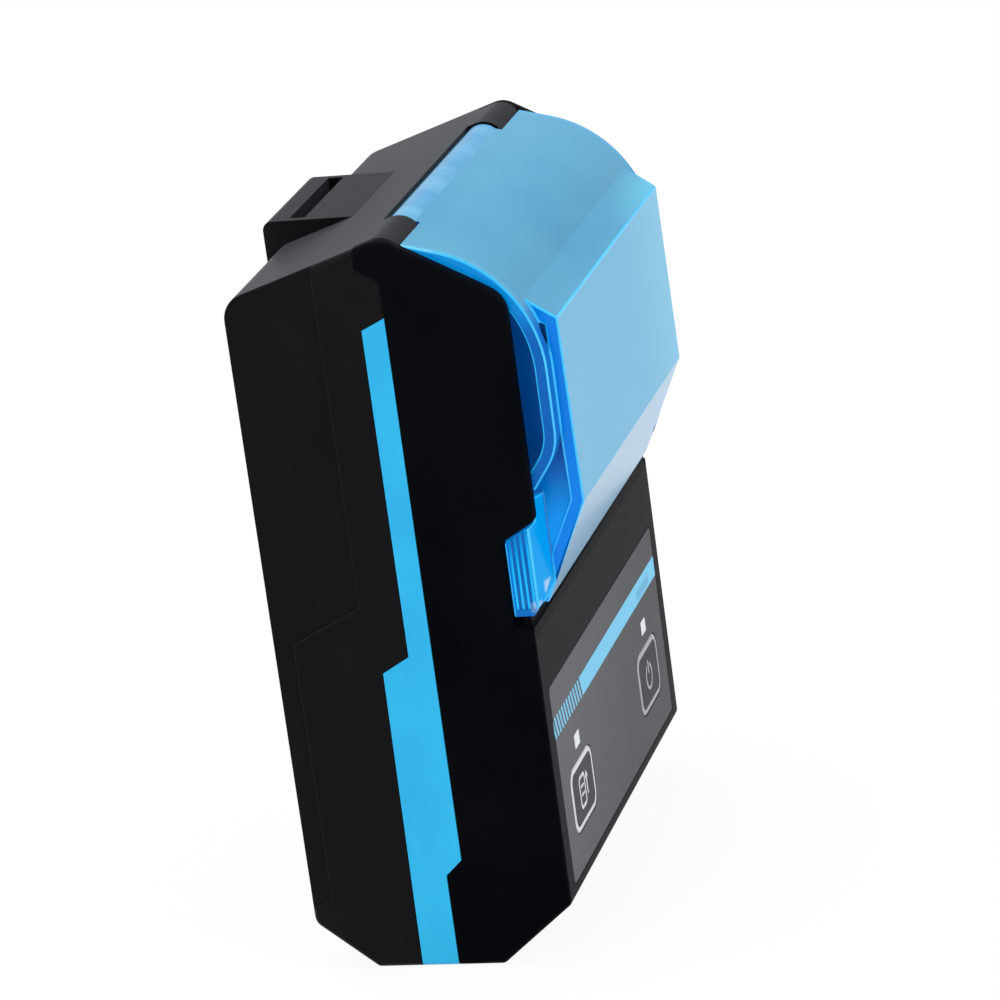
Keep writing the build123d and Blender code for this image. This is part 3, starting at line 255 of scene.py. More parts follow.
def copyOfNode(name, node, body):
    # an own copy of a CAD node's mesh, merged, that stands for the node
    piece = bpy.data.objects.new(name, nodes[node].data.copy())
    bpy.context.scene.collection.objects.link(piece)
    selectOnly(piece)
    bpy.ops.object.mode_set(mode="EDIT")
    bpy.ops.mesh.select_all(action="SELECT")
    bpy.ops.mesh.remove_doubles(threshold=softening["merge"])
    bpy.ops.mesh.dissolve_limited(angle_limit=softening["flat"])
    bpy.ops.object.mode_set(mode="OBJECT")
    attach(piece, body)
    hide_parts(node)
    return piece


def roundEdges(piece, width, angle, isRounded, material=-1):
    # a small bevel on the sharp edges that isRounded picks by their two ends, in millimetres
    mesh = piece.data
    facing = {}
    for face in mesh.polygons:
        for key in face.edge_keys:
            facing.setdefault(key, []).append(face.normal)
    weights = mesh.attributes.new("bevel_weight_edge", "FLOAT", "EDGE")
    for edge in mesh.edges:
        around = facing.get(edge.key, [])
        start, end = [mesh.vertices[i].co * 1000.0 for i in edge.vertices]
        sharp = len(around) == 2 and around[0].angle(around[1], 0.0) > math.radians(angle)
        weights.data[edge.index].value = 1.0 if sharp and isRounded(start, end) else 0.0
    bevel = piece.modifiers.new("rim", "BEVEL")
    bevel.width = width
    bevel.segments = softening["segments"]
    bevel.limit_method = "WEIGHT"
    bevel.material = material
    bevel.use_clamp_overlap = False
    selectOnly(piece)
    bpy.ops.object.modifier_apply(modifier=bevel.name)
    bpy.ops.object.shade_smooth_by_angle(angle=softening["smooth"])
    flatten = piece.modifiers.new("flatten", "WEIGHTED_NORMAL")
    flatten.weight = softening["flatten"]
    flatten.keep_sharp = True
    bpy.ops.object.modifier_apply(modifier=flatten.name)


# Case

caseLook = {
    "black": colour(3, 3, 6),
    "greyer": colour(8, 8, 11),
    "roughness": 0.44,
    "uneven": 0.12,
    "rubbed": 0.05,
    "specular": 0.08,
    "sheen": 0.14,
    "sheenTint": colour(236, 242, 255),
    "sheenRoughness": 0.4,
    "cloudScale": 38.0,
    "cloudRange": (0.35, 0.7),
    "rubbedScale": 9.0,
    "rubbedRange": (0.45, 0.75),
    "grain": 2600.0,
    "grainDepth": 0.00004,
    "grainStrength": 0.35,
}
# painted shade: the front shell's copy of the case plastic is darker and bluer, with less specular
# and sheen
shadedFrontLook = dict(caseLook, black=colour(2, 3, 7), greyer=colour(6, 7, 12), specular=0.02,
                 sheen=0.015, sheenTint=colour(190, 210, 255))
innerLook = dict(caseLook, black=colour(20, 20, 22), greyer=colour(27, 27, 29), roughness=0.4,
                 specular=0.25, sheen=0.0, sheenTint=white, grain=1500.0, grainDepth=0.00003)


def makeCaseFinish(name, look):
    # matt moulded plastic: fine spark grain, faint clouds and slightly rubbed patches
    finish = Finish(name, IOR=1.5, Specular_IOR_Level=look["specular"], Sheen_Weight=look["sheen"],
                    Sheen_Roughness=look["sheenRoughness"], Sheen_Tint=look["sheenTint"])
    clouds = finish.spread(finish.noise(look["cloudScale"], 4.0, 0.6), *look["cloudRange"])
    grain = finish.noise(look["grain"], 2.0, 0.6)
    finish.feed("Base Color", finish.blend(clouds, look["black"], look["greyer"]))
    rubbed = finish.spread(finish.noise(look["rubbedScale"]), *look["rubbedRange"],
                           0.0, look["rubbed"])
    finish.feed("Roughness", finish.uneven(look["roughness"] - rubbed, grain, look["uneven"]))
    finish.bump(grain, look["grainDepth"], look["grainStrength"])
    return finish


shellLook = {
    "fieldX": 38.9,
    "backY": 18.4,
    "panelY": -20.85,
    "width": 0.00016,  # of the soft edge, in metres
    "angle": 30.0,
}


def makeShell(name, node, body, finish, look):
    # the outlines of the shell's outer faces are softened, and what is inside stays as it is
    shell = copyOfNode(name, node, body)
    cover(shell.data, finish)

    def isOutline(start, end):
        onSide = min(abs(start.x), abs(end.x)) > look["fieldX"]
        onBack = min(start.y, end.y) > look["backY"]
        onPanel = max(start.y, end.y) < look["panelY"]
        return onSide or onBack or onPanel

    roundEdges(shell, look["width"], look["angle"], isOutline)


rearFinish = makeCaseFinish("case_black", caseLook)
shadedFrontFinish = makeCaseFinish("front_black_shaded", shadedFrontLook)
makeShell("rear_moulding", "rear_shell", "case", rearFinish, shellLook)
makeShell("front_moulding", "front_shell", "case", shadedFrontFinish, shellLook)
makeShell("door_moulding", "battery_door", "door", rearFinish, shellLook)
paint(makeCaseFinish("inner_black", innerLook), "paper_bin", "mechanism_chassis", "paper_sensor")
print("shells made")


# Trim band

trimLook = {
    "blue": colour(34, 178, 228),
    "deeper": colour(26, 168, 222),
    "roughness": 0.38,
    "uneven": 0.1,
    "cloudScale": 60.0,
    "grain": 2200.0,
    "grainDepth": 0.00003,
    "grainStrength": 0.25,
}


def makeTrimFinish(look):
    finish = Finish("trim_blue", IOR=1.48, Specular_IOR_Level=0.3)
    clouds = finish.clouds(look["cloudScale"])
    grain = finish.noise(look["grain"], 2.0)
    finish.feed("Base Color", finish.blend(clouds, look["deeper"], look["blue"]))
    finish.feed("Roughness", finish.uneven(look["roughness"], grain, look["uneven"]))
    finish.bump(grain, look["grainDepth"], look["grainStrength"])
    return finish


paint(makeTrimFinish(trimLook), "trim_band")
print("trim made")


# Lid: places are in millimetres

lidLook = {
    "cover": colour(84, 163, 204),
    "coverPale": colour(98, 175, 210),
    # painted light: the edge, far and front colours are lit copies of the cover's blue, and low is
    # a painted reflection of the floor
    "litCoverEdge": colour(96, 188, 232),
    "farCoverLit": colour(104, 206, 236),
    "front": colour(104, 192, 234),
    "farFrontLit": colour(120, 210, 240),
    "low": colour(138, 192, 230),
    # painted reflections: the barrel's paler blues and the bands between them
    "barrel": colour(112, 190, 232),
    "barrelDeep": colour(84, 168, 220),
    # painted shade and painted light: deeper and darker blues for the ends, the strip beside the
    # nose and the grips, where light gathers in the clear plastic
    "coverEnd": colour(0, 140, 210),
    "coverEndDeep": colour(0, 62, 144),
    "coverSide": colour(24, 124, 214),
    "noseEnd": colour(0, 116, 214),
    "cheekDark": colour(0, 70, 160),
    "cheekLight": colour(0, 168, 240),
    "grip": colour(0, 96, 172),
    "flank": colour(0, 154, 222),
    # painted highlight: the bright lines of light in the grip's grooves
    "groove": colour(60, 214, 250),
    "paintedGearImage": colour(196, 218, 232),
    # painted glow: emission colours for the ends, the grips and their grooves
    "glow": colour(0, 150, 250),
    "cheekGlow": colour(0, 90, 160),
    "gripGlow": colour(0, 90, 160),
    "grooveGlow": colour(0, 220, 255),
    # painted highlight and glow for the bevelled edge lines
    "rim": colour(56, 190, 240),
    "rimGlow": colour(0, 160, 220),
    "cloudScale": 24.0,
    "reflectionBandScale": 190.0,
    "reflectionBandStretch": (1.0, 0.2, 0.2),
    "grain": 400.0,
    "roughness": 0.2,
    "uneven": 0.06,
    "clear": 0.25,
    "flankClear": 0.05,
    "plateClear": 0.2,
    "emission": 0.25,
    "coatScale": 12.0,
    "coat": (0.1, 0.25),
    "barrelCoat": 0.35,
    "waveScale": 140.0,
    "waveDepth": 0.00003,
    "waveStrength": 0.15,
    "endTilt": (0.5, 0.85),
    "frontTilt": (-0.55, -0.95),
    "lowTilt": (-0.2, -0.35),
    "farX": (5.0, 36.0),
    "farCoverShare": 0.8,
    "farFrontShare": 0.6,
    "edgeX": (35.4, 37.2),
    "edgeLightShare": 0.7,
    "noseY": (-24.3, -28.7),
    "frontY": (-28.7, -29.4),
    "lowZ": (69.85, 69.6),
    "hinge": (-5.449, 108.307),
    "barrelRadius": (3.3, 3.1),
    "deepZ": (102.0, 95.0),
    "cheekZ": (80.0, 62.0),
    "cheekGlowZ": (78.0, 62.0),
    "coverEndX": (35.9, 36.0),
    "noseEndX": (34.0, 34.1),
    "besideX": (34.2, 34.6),
    "gripX": (34.6, 34.7),
    "gripZ": (73.5, 73.1),
    "grooveX": (38.2, 38.95),
    "gearZ": (57.2, 58.9),
    "gearX": (-37.4, -36.8),
    "gearSlant": 0.87,
    "gearSlantX": (-36.5, -37.1),
    "footX": (-39.15, -38.1),
    "footZ": (54.9, 56.4),
    "gearFrontY": (-20.9, -21.2),
    "gearShare": 0.65,
}


def paintedGearPlaces(finish, x, y, z, look):
    # two small places low on the grip, painted pale and glowing, that stand for the white platen
    # gear behind it shining through
    slanted = x - (z - look["gearZ"][0]) * look["gearSlant"]
    overGear = finish.between(z, *look["gearZ"], 0.3) * finish.spread(x, *look["gearX"])
    overGear = overGear * finish.spread(slanted, *look["gearSlantX"])
    atFoot = finish.between(x, *look["footX"], 0.3) * finish.between(z, *look["footZ"], 0.3)
    inFront = finish.spread(y, *look["gearFrontY"])
    return finish.larger(overGear, atFoot) * inFront * look["gearShare"]


def makeLidFinish(look):
    # cast translucent plastic with its light painted in: lit and shaded copies of one blue, pale
    # on its broad faces and deep where light gathers at the ends
    finish = Finish("lid_blue", IOR=1.49, Specular_IOR_Level=0.02, Coat_Roughness=0.08,
                    Transmission_Weight=look["clear"], Emission_Strength=look["emission"])
    x, y, z = finish.inMillimetres()
    outX = abs(x)
    normalX, normalY, normalZ = finish.normal()
    edgeOn = finish.spread(abs(normalX), *look["endTilt"])
    onNoseEnd = finish.spread(outX, *look["noseEndX"])
    onCoverEnd = finish.spread(outX, *look["coverEndX"])
    onGrip = finish.spread(outX, *look["gripX"]) * finish.spread(z, *look["gripZ"])
    inGroove = onGrip * finish.between(outX, *look["grooveX"], 0.02)

    # the cover and the nose with painted light: paler at the far end and along the outer edge, a
    # lit copy of the blue on the front facet and a painted reflection of the pale floor on the low
    # facet
    far = finish.spread(x, *look["farX"])
    body = finish.blend(finish.clouds(look["cloudScale"]), look["cover"], look["coverPale"])
    paintedEdgeLight = finish.spread(outX, *look["edgeX"], 0.0, look["edgeLightShare"])
    body = finish.blend(paintedEdgeLight, body, look["litCoverEdge"])
    onNose = finish.spread(y, *look["noseY"])
    body = finish.blend(onNose * far * look["farCoverShare"], body, look["farCoverLit"])
    front = finish.blend(far * look["farFrontShare"], look["front"], look["farFrontLit"])
    onFront = finish.spread(y, *look["frontY"]) * finish.spread(normalY, *look["frontTilt"])
    body = finish.blend(onFront, body, front)
    below = finish.spread(z, *look["lowZ"]) * finish.spread(normalZ, *look["lowTilt"])
    body = finish.blend(below, body, look["low"])

    # the hinge barrel, paler, with cloudy bands along it that are painted reflections
    fromPin = finish.length(y - look["hinge"][0], z - look["hinge"][1])
    onBarrel = finish.spread(fromPin, *look["barrelRadius"])
    reflectionBands = finish.clouds(look["reflectionBandScale"], 2.0, 0.5, look["reflectionBandStretch"])
    body = finish.blend(onBarrel, body, finish.blend(reflectionBands, look["barrelDeep"], look["barrel"]))

    # painted shade and painted light: the cover is deeper beside the nose, on its outer strip and
    # on its ends, more so lower down, and the ends' cheeks are darker higher up
    deep = finish.spread(z, *look["deepZ"])
    beside = finish.spread(outX, *look["besideX"]) * deep
    body = finish.blend(beside, body, look["coverSide"])
    body = finish.blend(onGrip, body, look["flank"])
    coverEnd = finish.blend(deep, look["coverEnd"], look["coverEndDeep"])
    ends = finish.blend(finish.spread(z, *look["cheekZ"]), look["cheekDark"], look["cheekLight"])
    ends = finish.blend(onNoseEnd, ends, look["noseEnd"])
    ends = finish.blend(onCoverEnd, ends, coverEnd)
    ends = finish.blend(onGrip, ends, look["grip"])
    # painted highlight lines in the grooves
    ends = finish.blend(inGroove, ends, look["groove"])
    # painted see-through image of the gear, in the base colour and in the emission
    pale = onGrip * paintedGearPlaces(finish, x, y, z, look)
    face = finish.blend(edgeOn, body, ends)
    finish.feed("Base Color", finish.blend(pale, face, look["paintedGearImage"]))

    # painted glow: emission that stands for light gathering in the ends and in the grips
    cheekGlow = finish.spread(z, *look["cheekGlowZ"])
    cheekGlow = finish.blend(cheekGlow, look["cheekGlow"], look["glow"])
    glow = finish.blend(edgeOn, black, finish.blend(onNoseEnd, cheekGlow, look["glow"]))
    gripGlow = finish.blend(inGroove, look["gripGlow"], look["grooveGlow"])
    gripGlow = finish.blend(edgeOn, look["flank"], gripGlow)
    glow = finish.blend(onGrip, glow, gripGlow)
    finish.feed("Emission Color", finish.blend(pale, glow, look["paintedGearImage"]))

    plate = edgeOn * (1.0 - inGroove) * look["plateClear"]
    finish.feed("Alpha", 1.0 - onGrip * (look["flankClear"] + plate))
    grain = finish.noise(look["grain"], 2.0)
    finish.feed("Roughness", finish.uneven(look["roughness"], grain, look["uneven"]))
    gloss = finish.spread(finish.noise(look["coatScale"], 2.0), 0.3, 0.7, *look["coat"])
    broad = (1.0 - edgeOn) * (1.0 - onGrip) * (1.0 - beside)
    finish.feed("Coat Weight", broad * (gloss + onBarrel * look["barrelCoat"]))
    finish.bump(finish.noise(look["waveScale"], 2.0), look["waveDepth"], look["waveStrength"])
    return finish


rimLook = {
    "emission": 0.35,
    "clear": 0.2,
    "partScale": 60.0,
    "leastShare": 0.75,
    "grain": 500.0,
    "roughness": 0.15,
    "uneven": 0.05,
    "width": 0.00027,  # of the soft edge, in metres
    "angle": 38.0,
    "grooveX": 38.3,
    "grooveY": (-22.1, -18.5),
    "creaseLength": 60.0,
    "creaseY": -28.0,
}


def makeRimFinish(look, colours):
    # painted highlight and painted glow: the thin bright lines that light draws along the clear
    # plastic's edges
    finish = Finish("lid_rim_highlight", IOR=1.49, Emission_Strength=look["emission"],
                    Transmission_Weight=look["clear"])
    along = finish.spread(finish.noise(look["partScale"], 2.0), 0.3, 0.7, look["leastShare"])
    finish.feed("Base Color", finish.blend(along, colours["noseEnd"], colours["rim"]))
    finish.feed("Emission Color", finish.blend(along, colours["glow"], colours["rimGlow"]))
    grain = finish.noise(look["grain"], 2.0)
    finish.feed("Roughness", finish.uneven(look["roughness"], grain, look["uneven"]))
    return finish


def makeLid(look, rim):
    lid = copyOfNode("lid_moulding", "paper_lid", "lid")
    cover(lid.data, makeLidFinish(look), makeRimFinish(rim, look))
    near, far = rim["grooveY"]

    def isRim(start, end):
        # the end outlines, the nose's long creases and the grips' outlines, not their grooves
        inGrooves = any(abs(p.x) > rim["grooveX"] and near < p.y < far for p in (start, end))
        atEnd = min(abs(start.x), abs(end.x)) > look["noseEndX"][1] and not inGrooves
        isLong = (start - end).length > rim["creaseLength"]
        return atEnd or (isLong and max(start.y, end.y) < rim["creaseY"])

    roundEdges(lid, rim["width"], rim["angle"], isRim, material=1)


makeLid(lidLook, rimLook)
print("lid made")


# Key panel: label and keys

panelLook = {
    "film": colour(42, 44, 51),
    "filmLight": colour(82, 85, 94),
    "bar": colour(110, 200, 238),
    "barDark": colour(40, 120, 176),
    "line": colour(215, 218, 222),
    "keyInside": colour(48, 50, 54),
    "keyShare": 0.75,
    "labelSpecular": 0.08,
    "keySpecular": 0.03,
    "roughness": 0.34,
    "speckleScale": 2400.0,
    "speckleRange": (0.45, 0.75),
    "speckleShare": 0.35,
    "speckleRough": 0.12,
    # painted light: where and how much the film is lighter toward one side, along a slant
    "lightAcross": (30.0, -42.0),
    "lightMiddle": 26.0,
    "lightSlant": 0.6,
    "lightShare": 0.7,
    "barLow": 33.6,
    "barHigh": 36.8,
    "barLeft": -17.0,
    "barRight": 35.5,
    "strokesLeft": -35.2,
    "strokePitch": 1.5,
    "strokeSlant": 0.35,
    "strokeShare": (0.52, 0.45),
    "patchX": (22.0, 30.5),
    "patchHeight": (0.5, 1.9),
    "hatchPitch": 0.9,
    "hatchShare": 0.8,
    "keyX": (-23.7, 23.7),
    "keyZ": 21.2,
    "keySize": (14.0, 10.0),
    "keyCorner": 2.4,
    "keyLine": 0.86,
    "powerShare": 0.6,
    "bumpScale": 1300.0,
    "bumpDepth": 0.00004,
    "bumpStrength": 0.6,
}

# the symbols' sizes, in millimetres from the middle of their key
feedLook = {
    "sheetX": -0.6,
    "sheetSize": (3.2, 4.6),
    "sheetCorner": 0.7,
    "sheetLine": 0.54,
    "rulesX": (-1.5, 0.3),
    "rulesZ": ((0.6, 1.0), (-0.7, -0.3)),
    "shaftX": (2.0, 2.5),
    "shaftZ": (-1.6, 1.2),
    "headX": 2.25,
    "headZ": (1.0, 2.2),
    "headSlope": 0.7,
}
powerLook = {
    "ringZ": -0.2,
    "ringRadius": 1.9,
    "ringLine": 0.5,
    "gapX": (-0.8, 0.8),
    "gapZ": (0.6, 3.0),
    "barX": (-0.25, 0.25),
    "barZ": (0.3, 2.4),
}


def roundedBox(finish, x, z, size, corner):
    # distance outside a box with rounded corners about the middle, in millimetres
    overX = finish.larger(abs(x) - (size[0] / 2 - corner), 0.0)
    overZ = finish.larger(abs(z) - (size[1] / 2 - corner), 0.0)
    return finish.length(overX, overZ) - corner


def stroke(finish, x, z, xRange, zRange):
    return finish.between(x, *xRange, 0.05) * finish.between(z, *zRange, 0.05)


def feedSymbol(finish, x, z, look):
    # a sheet of paper with two lines on it, and an arrow that points up beside it
    edge = roundedBox(finish, x - look["sheetX"], z, look["sheetSize"], look["sheetCorner"])
    mark = finish.line(edge, look["sheetLine"])
    for rule in look["rulesZ"]:
        mark = finish.larger(mark, stroke(finish, x, z, look["rulesX"], rule))
    mark = finish.larger(mark, stroke(finish, x, z, look["shaftX"], look["shaftZ"]))
    low, tip = look["headZ"]
    fromSide = abs(x - look["headX"]) - (tip - z) * look["headSlope"]
    head = finish.spread(fromSide, 0.05, -0.05) * finish.between(z, low, tip, 0.05)
    return finish.larger(mark, head)


def powerSymbol(finish, x, z, look):
    # an open ring with a bar in its gap
    ring = finish.line(finish.length(x, z - look["ringZ"]) - look["ringRadius"], look["ringLine"])
    gap = stroke(finish, x, z, look["gapX"], look["gapZ"])
    bar = stroke(finish, x, z, look["barX"], look["barZ"])
    return finish.larger(ring * (1.0 - gap), bar)


def keyMarks(finish, x, z, look):
    # the keys' outlines and symbols, the power key's fainter
    left, right = [x - keyX for keyX in look["keyX"]]
    up = z - look["keyZ"]
    outlines = [roundedBox(finish, across, up, look["keySize"], look["keyCorner"])
                for across in (left, right)]
    outlines = [finish.line(edge + look["keyLine"] / 2, look["keyLine"]) for edge in outlines]
    feed = finish.larger(feedSymbol(finish, left, up, feedLook), outlines[0])
    power = finish.larger(powerSymbol(finish, right, up, powerLook), outlines[1])
    return finish.larger(feed, power * look["powerShare"])


def labelPrint(finish, x, z, look):
    # the bar with slanted strokes at its left and a hatched patch: its mask and its ink
    low, high, left, right = [look[key] for key in ("barLow", "barHigh", "barLeft", "barRight")]
    slanted = x + (z - low) * look["strokeSlant"]
    inBar = finish.between(z, low, high, 0.06)
    solid = finish.spread(slanted, left - 0.06, left + 0.06)
    solid = solid * finish.spread(x, right + 0.08, right - 0.08)
    cycle = finish.fraction((slanted - look["strokesLeft"]) / look["strokePitch"])
    strokes = finish.spread(cycle, *look["strokeShare"])
    strokes = strokes * finish.between(slanted, look["strokesLeft"], left, 0.05)
    bottom, top = look["patchHeight"]
    patch = finish.between(x, *look["patchX"], 0.1)
    patch = patch * finish.between(z, low + bottom, low + top, 0.08)
    hatch = finish.spread(finish.fraction(slanted / look["hatchPitch"]), 0.55, 0.45)
    ink = finish.blend(patch * hatch * look["hatchShare"], look["bar"], look["barDark"])
    return inBar * finish.larger(solid, strokes), ink


def makePanelFinish(name, look, onKeys):
    specular = look["keySpecular"] if onKeys else look["labelSpecular"]
    finish = Finish(name, IOR=1.5, Specular_IOR_Level=specular)
    x, z = finish.acrossAndUp()
    speckle = finish.spread(finish.noise(look["speckleScale"], 2.0, 0.6), *look["speckleRange"])
    # painted light: the film and keys are lighter toward the left, seen from the front, along a
    # slant; the speckle is their own grain
    slanted = x - (z - look["lightMiddle"]) * look["lightSlant"]
    paintedLightSide = finish.spread(slanted, *look["lightAcross"]) * look["lightShare"]
    lighter = paintedLightSide + speckle * look["speckleShare"]
    film = finish.blend(lighter, look["film"], look["filmLight"])
    if onKeys:
        film = finish.blend(look["keyShare"], film, look["keyInside"])
        printed, ink = keyMarks(finish, x, z, look), look["line"]
    else:
        printed, ink = labelPrint(finish, x, z, look)
    finish.feed("Base Color", finish.blend(printed, film, ink))
    finish.feed("Roughness", look["roughness"] + speckle * look["speckleRough"])
    finish.bump(finish.noise(look["bumpScale"], 2.0), look["bumpDepth"], look["bumpStrength"])
    return finish


paint(makePanelFinish("label_grey", panelLook, False), "control_label")
paint(makePanelFinish("key_black", panelLook, True), "feed_key", "power_key")
print("panel made")


# Plain finishes: clouds of two colours and a fine grain

# what they share, unless a finish gives its own
plainLook = {
    "cloudScale": 50.0,
    "uneven": 0.15,
    "metallic": 0.0,
    "stretch": None,
    "grainDepth": 0.00002,
    "grainStrength": 0.3,
}
plainLooks = {
    "window_clear": {
        "base": colour(222, 226, 228), "other": colour(205, 212, 216),
        "roughness": 0.2, "grain": 900.0, "nodes": ["led_windows"],
    },
    "gear_white": {
        "base": colour(232, 232, 226), "other": colour(222, 222, 216),
        "roughness": 0.35, "grain": 1400.0,
        "nodes": ["platen_gear", "platen_bushings", "reduction_gear", "status_leds"],
    },
    "platen_rubber": {
        "base": colour(34, 34, 35), "other": colour(46, 46, 47),
        "roughness": 0.62, "grain": 2500.0, "grainDepth": 0.00003,
        "stretch": (1.0, 0.04, 0.04),
        "nodes": ["platen_roller"],
    },
    "steel": {
        "base": colour(176, 178, 180), "other": colour(150, 152, 155),
        "roughness": 0.28, "grain": 1800.0, "metallic": 1.0,
        "nodes": ["lid_hinge_pin", "platen_shaft", "gear_axle", "head_springs", "case_screws",
                  "board_screws", "chassis_screws", "motor_screws", "tear_bar"],
    },
    "plated_steel": {
        "base": colour(186, 186, 184), "other": colour(166, 166, 164),
        "roughness": 0.3, "grain": 1500.0, "metallic": 1.0,
        "nodes": ["stepper_motor", "usb_socket"],
    },
    "aluminium": {
        "base": colour(190, 191, 193), "other": colour(170, 171, 173),
        "roughness": 0.4, "grain": 1200.0, "metallic": 1.0, "stretch": (0.05, 1.0, 1.0),
        "nodes": ["head_heat_sink"],
    },
    "brass": {
        "base": colour(214, 176, 98), "other": colour(196, 156, 84),
        "roughness": 0.3, "grain": 1500.0, "metallic": 1.0,
        "nodes": ["motor_pinion", "battery_contacts"],
    },
    "switch_black": {
        "base": colour(30, 30, 32), "other": colour(40, 40, 42),
        "roughness": 0.5, "grain": 2000.0, "nodes": ["tact_switches"],
    },
}


def makePlainFinish(name, look):
    finish = Finish(name, Metallic=look["metallic"])
    grain = finish.noise(look["grain"], 3.0, 0.55, look["stretch"])
    clouds = finish.clouds(look["cloudScale"])
    finish.feed("Base Color", finish.blend(clouds, look["base"], look["other"]))
    finish.feed("Roughness", finish.uneven(look["roughness"], grain, look["uneven"]))
    finish.bump(grain, look["grainDepth"], look["grainStrength"])
    return finish


for name, look in plainLooks.items():
    paint(makePlainFinish(name, {**plainLook, **look}), *look["nodes"])
print("plain finishes made")


# Print head: ceramic strip with its glazed heater line and gold traces

headLook = {
    "ceramic": colour(206, 196, 176),
    "ceramicDeep": colour(194, 182, 160),
    "gold": colour(188, 146, 70),
    "glaze": colour(96, 84, 74),
    "heater": colour(40, 32, 30),
    "goldShare": 0.7,
    "goldMetallic": 0.6,
    "glazeShare": 0.85,
    "cloudScale": 70.0,
    "grain": 900.0,
    "roughness": 0.32,
    "glazeSmooth": 0.2,
    "uneven": 0.08,
    "heaterZ": 58.8,
    "heaterWidth": 0.32,
    "glazeHalf": 0.9,
    "tracePitch": 0.6,
    "traceShare": (0.3, 0.7),
    "traceZ": (53.4, 57.6),
    "glazeHeight": 0.00005,
    "glazeStrength": 0.4,
}


def makeHeadFinish(look):
    finish = Finish("print_head_ceramic", IOR=1.6)
    x, z = finish.acrossAndUp()
    across = finish.fraction(x / look["tracePitch"])
    traces = finish.between(across, *look["traceShare"], 0.08)
    traces = traces * finish.between(z, *look["traceZ"], 0.1)
    fromHeater = z - look["heaterZ"]
    inGlaze = finish.spread(abs(fromHeater), look["glazeHalf"], look["glazeHalf"] - 0.15)
    onHeater = finish.line(fromHeater, look["heaterWidth"])
    face = finish.blend(finish.clouds(look["cloudScale"]), look["ceramic"], look["ceramicDeep"])
    face = finish.blend(traces * look["goldShare"], face, look["gold"])
    face = finish.blend(inGlaze * look["glazeShare"], face, look["glaze"])
    finish.feed("Base Color", finish.blend(onHeater, face, look["heater"]))
    smooth = look["roughness"] - inGlaze * look["glazeSmooth"]
    grain = finish.noise(look["grain"], 2.0)
    finish.feed("Roughness", finish.uneven(smooth, grain, look["uneven"]))
    finish.feed("Metallic", traces * (1.0 - inGlaze) * look["goldMetallic"])
    finish.bump(inGlaze, look["glazeHeight"], look["glazeStrength"])
    return finish


paint(makeHeadFinish(headLook), "print_head")


# Main board and its chips

boardLook = {
    "mask": colour(18, 80, 48),
    "maskDeep": colour(14, 68, 42),
    "track": colour(40, 116, 72),
    "tin": colour(196, 192, 176),
    "silk": colour(206, 212, 206),
    "roughness": 0.3,
    "uneven": 0.1,
    "tinMetallic": 0.8,
    "cloudScale": 40.0,
    "grain": 700.0,
    "patchScale": 130.0,
    "acrossPatches": (0.5, 0.52),
    "upPatches": (0.48, 0.46),
    "trackPitch": 1.4,
    "trackShare": (0.35, 0.62),
    "holeScale": 260.0,
    "holeSize": (0.16, 0.12),
    "edgeX": 29.6,
    "lowZ": 10.3,
    "highZ": 46.2,
    "silkWidth": 0.2,
    "height": 0.00003,
    "strength": 0.4,
}
chipLook = {
    "chip": colour(28, 28, 30),
    "chipWorn": colour(38, 38, 40),
    "can": colour(190, 190, 188),
    "socket": colour(224, 218, 200),
    "roughness": 0.5,
    "canSmooth": 0.2,
    "uneven": 0.15,
    "canX": (7.5, 20.5),
    "canZ": (11.5, 23.5),
    "socketZ": 41.5,
    "wornScale": 300.0,
    "wornRange": (0.4, 0.7),
    "sheenScale": 1500.0,
    "grain": 2000.0,
    "grainDepth": 0.00002,
    "grainStrength": 0.3,
}


def makeBoardFinish(look):
    # solder mask over runs of copper, tinned holes and a printed border
    finish = Finish("board_green", IOR=1.5)
    x, z = finish.acrossAndUp()
    patches = finish.noise(look["patchScale"], 0.0)

    def runs(across, patchRange):
        cycle = finish.fraction(across / look["trackPitch"])
        return finish.spread(patches, *patchRange) * finish.between(
            cycle, *look["trackShare"], 0.06)

    def border(value, low):
        return finish.between(value, low, low + look["silkWidth"], 0.03)

    tracks = finish.larger(runs(z, look["acrossPatches"]), runs(x, look["upPatches"]))
    cells = finish.node("ShaderNodeTexVoronoi", {"feature": "F1"}, {
        "Vector": finish.place(), "Scale": look["holeScale"]})
    holes = finish.spread(cells, *look["holeSize"])
    silk = finish.larger(border(z, look["lowZ"]), border(z, look["highZ"] - look["silkWidth"]))
    silk = finish.larger(border(abs(x), look["edgeX"] - look["silkWidth"]), silk)
    face = finish.blend(finish.clouds(look["cloudScale"]), look["mask"], look["maskDeep"])
    face = finish.blend(tracks, face, look["track"])
    face = finish.blend(holes, face, look["tin"])
    finish.feed("Base Color", finish.blend(silk, face, look["silk"]))
    finish.feed("Metallic", holes * look["tinMetallic"])
    grain = finish.noise(look["grain"], 2.0)
    finish.feed("Roughness", finish.uneven(look["roughness"], grain, look["uneven"]))
    finish.bump(finish.larger(tracks, holes), look["height"], look["strength"])
    return finish


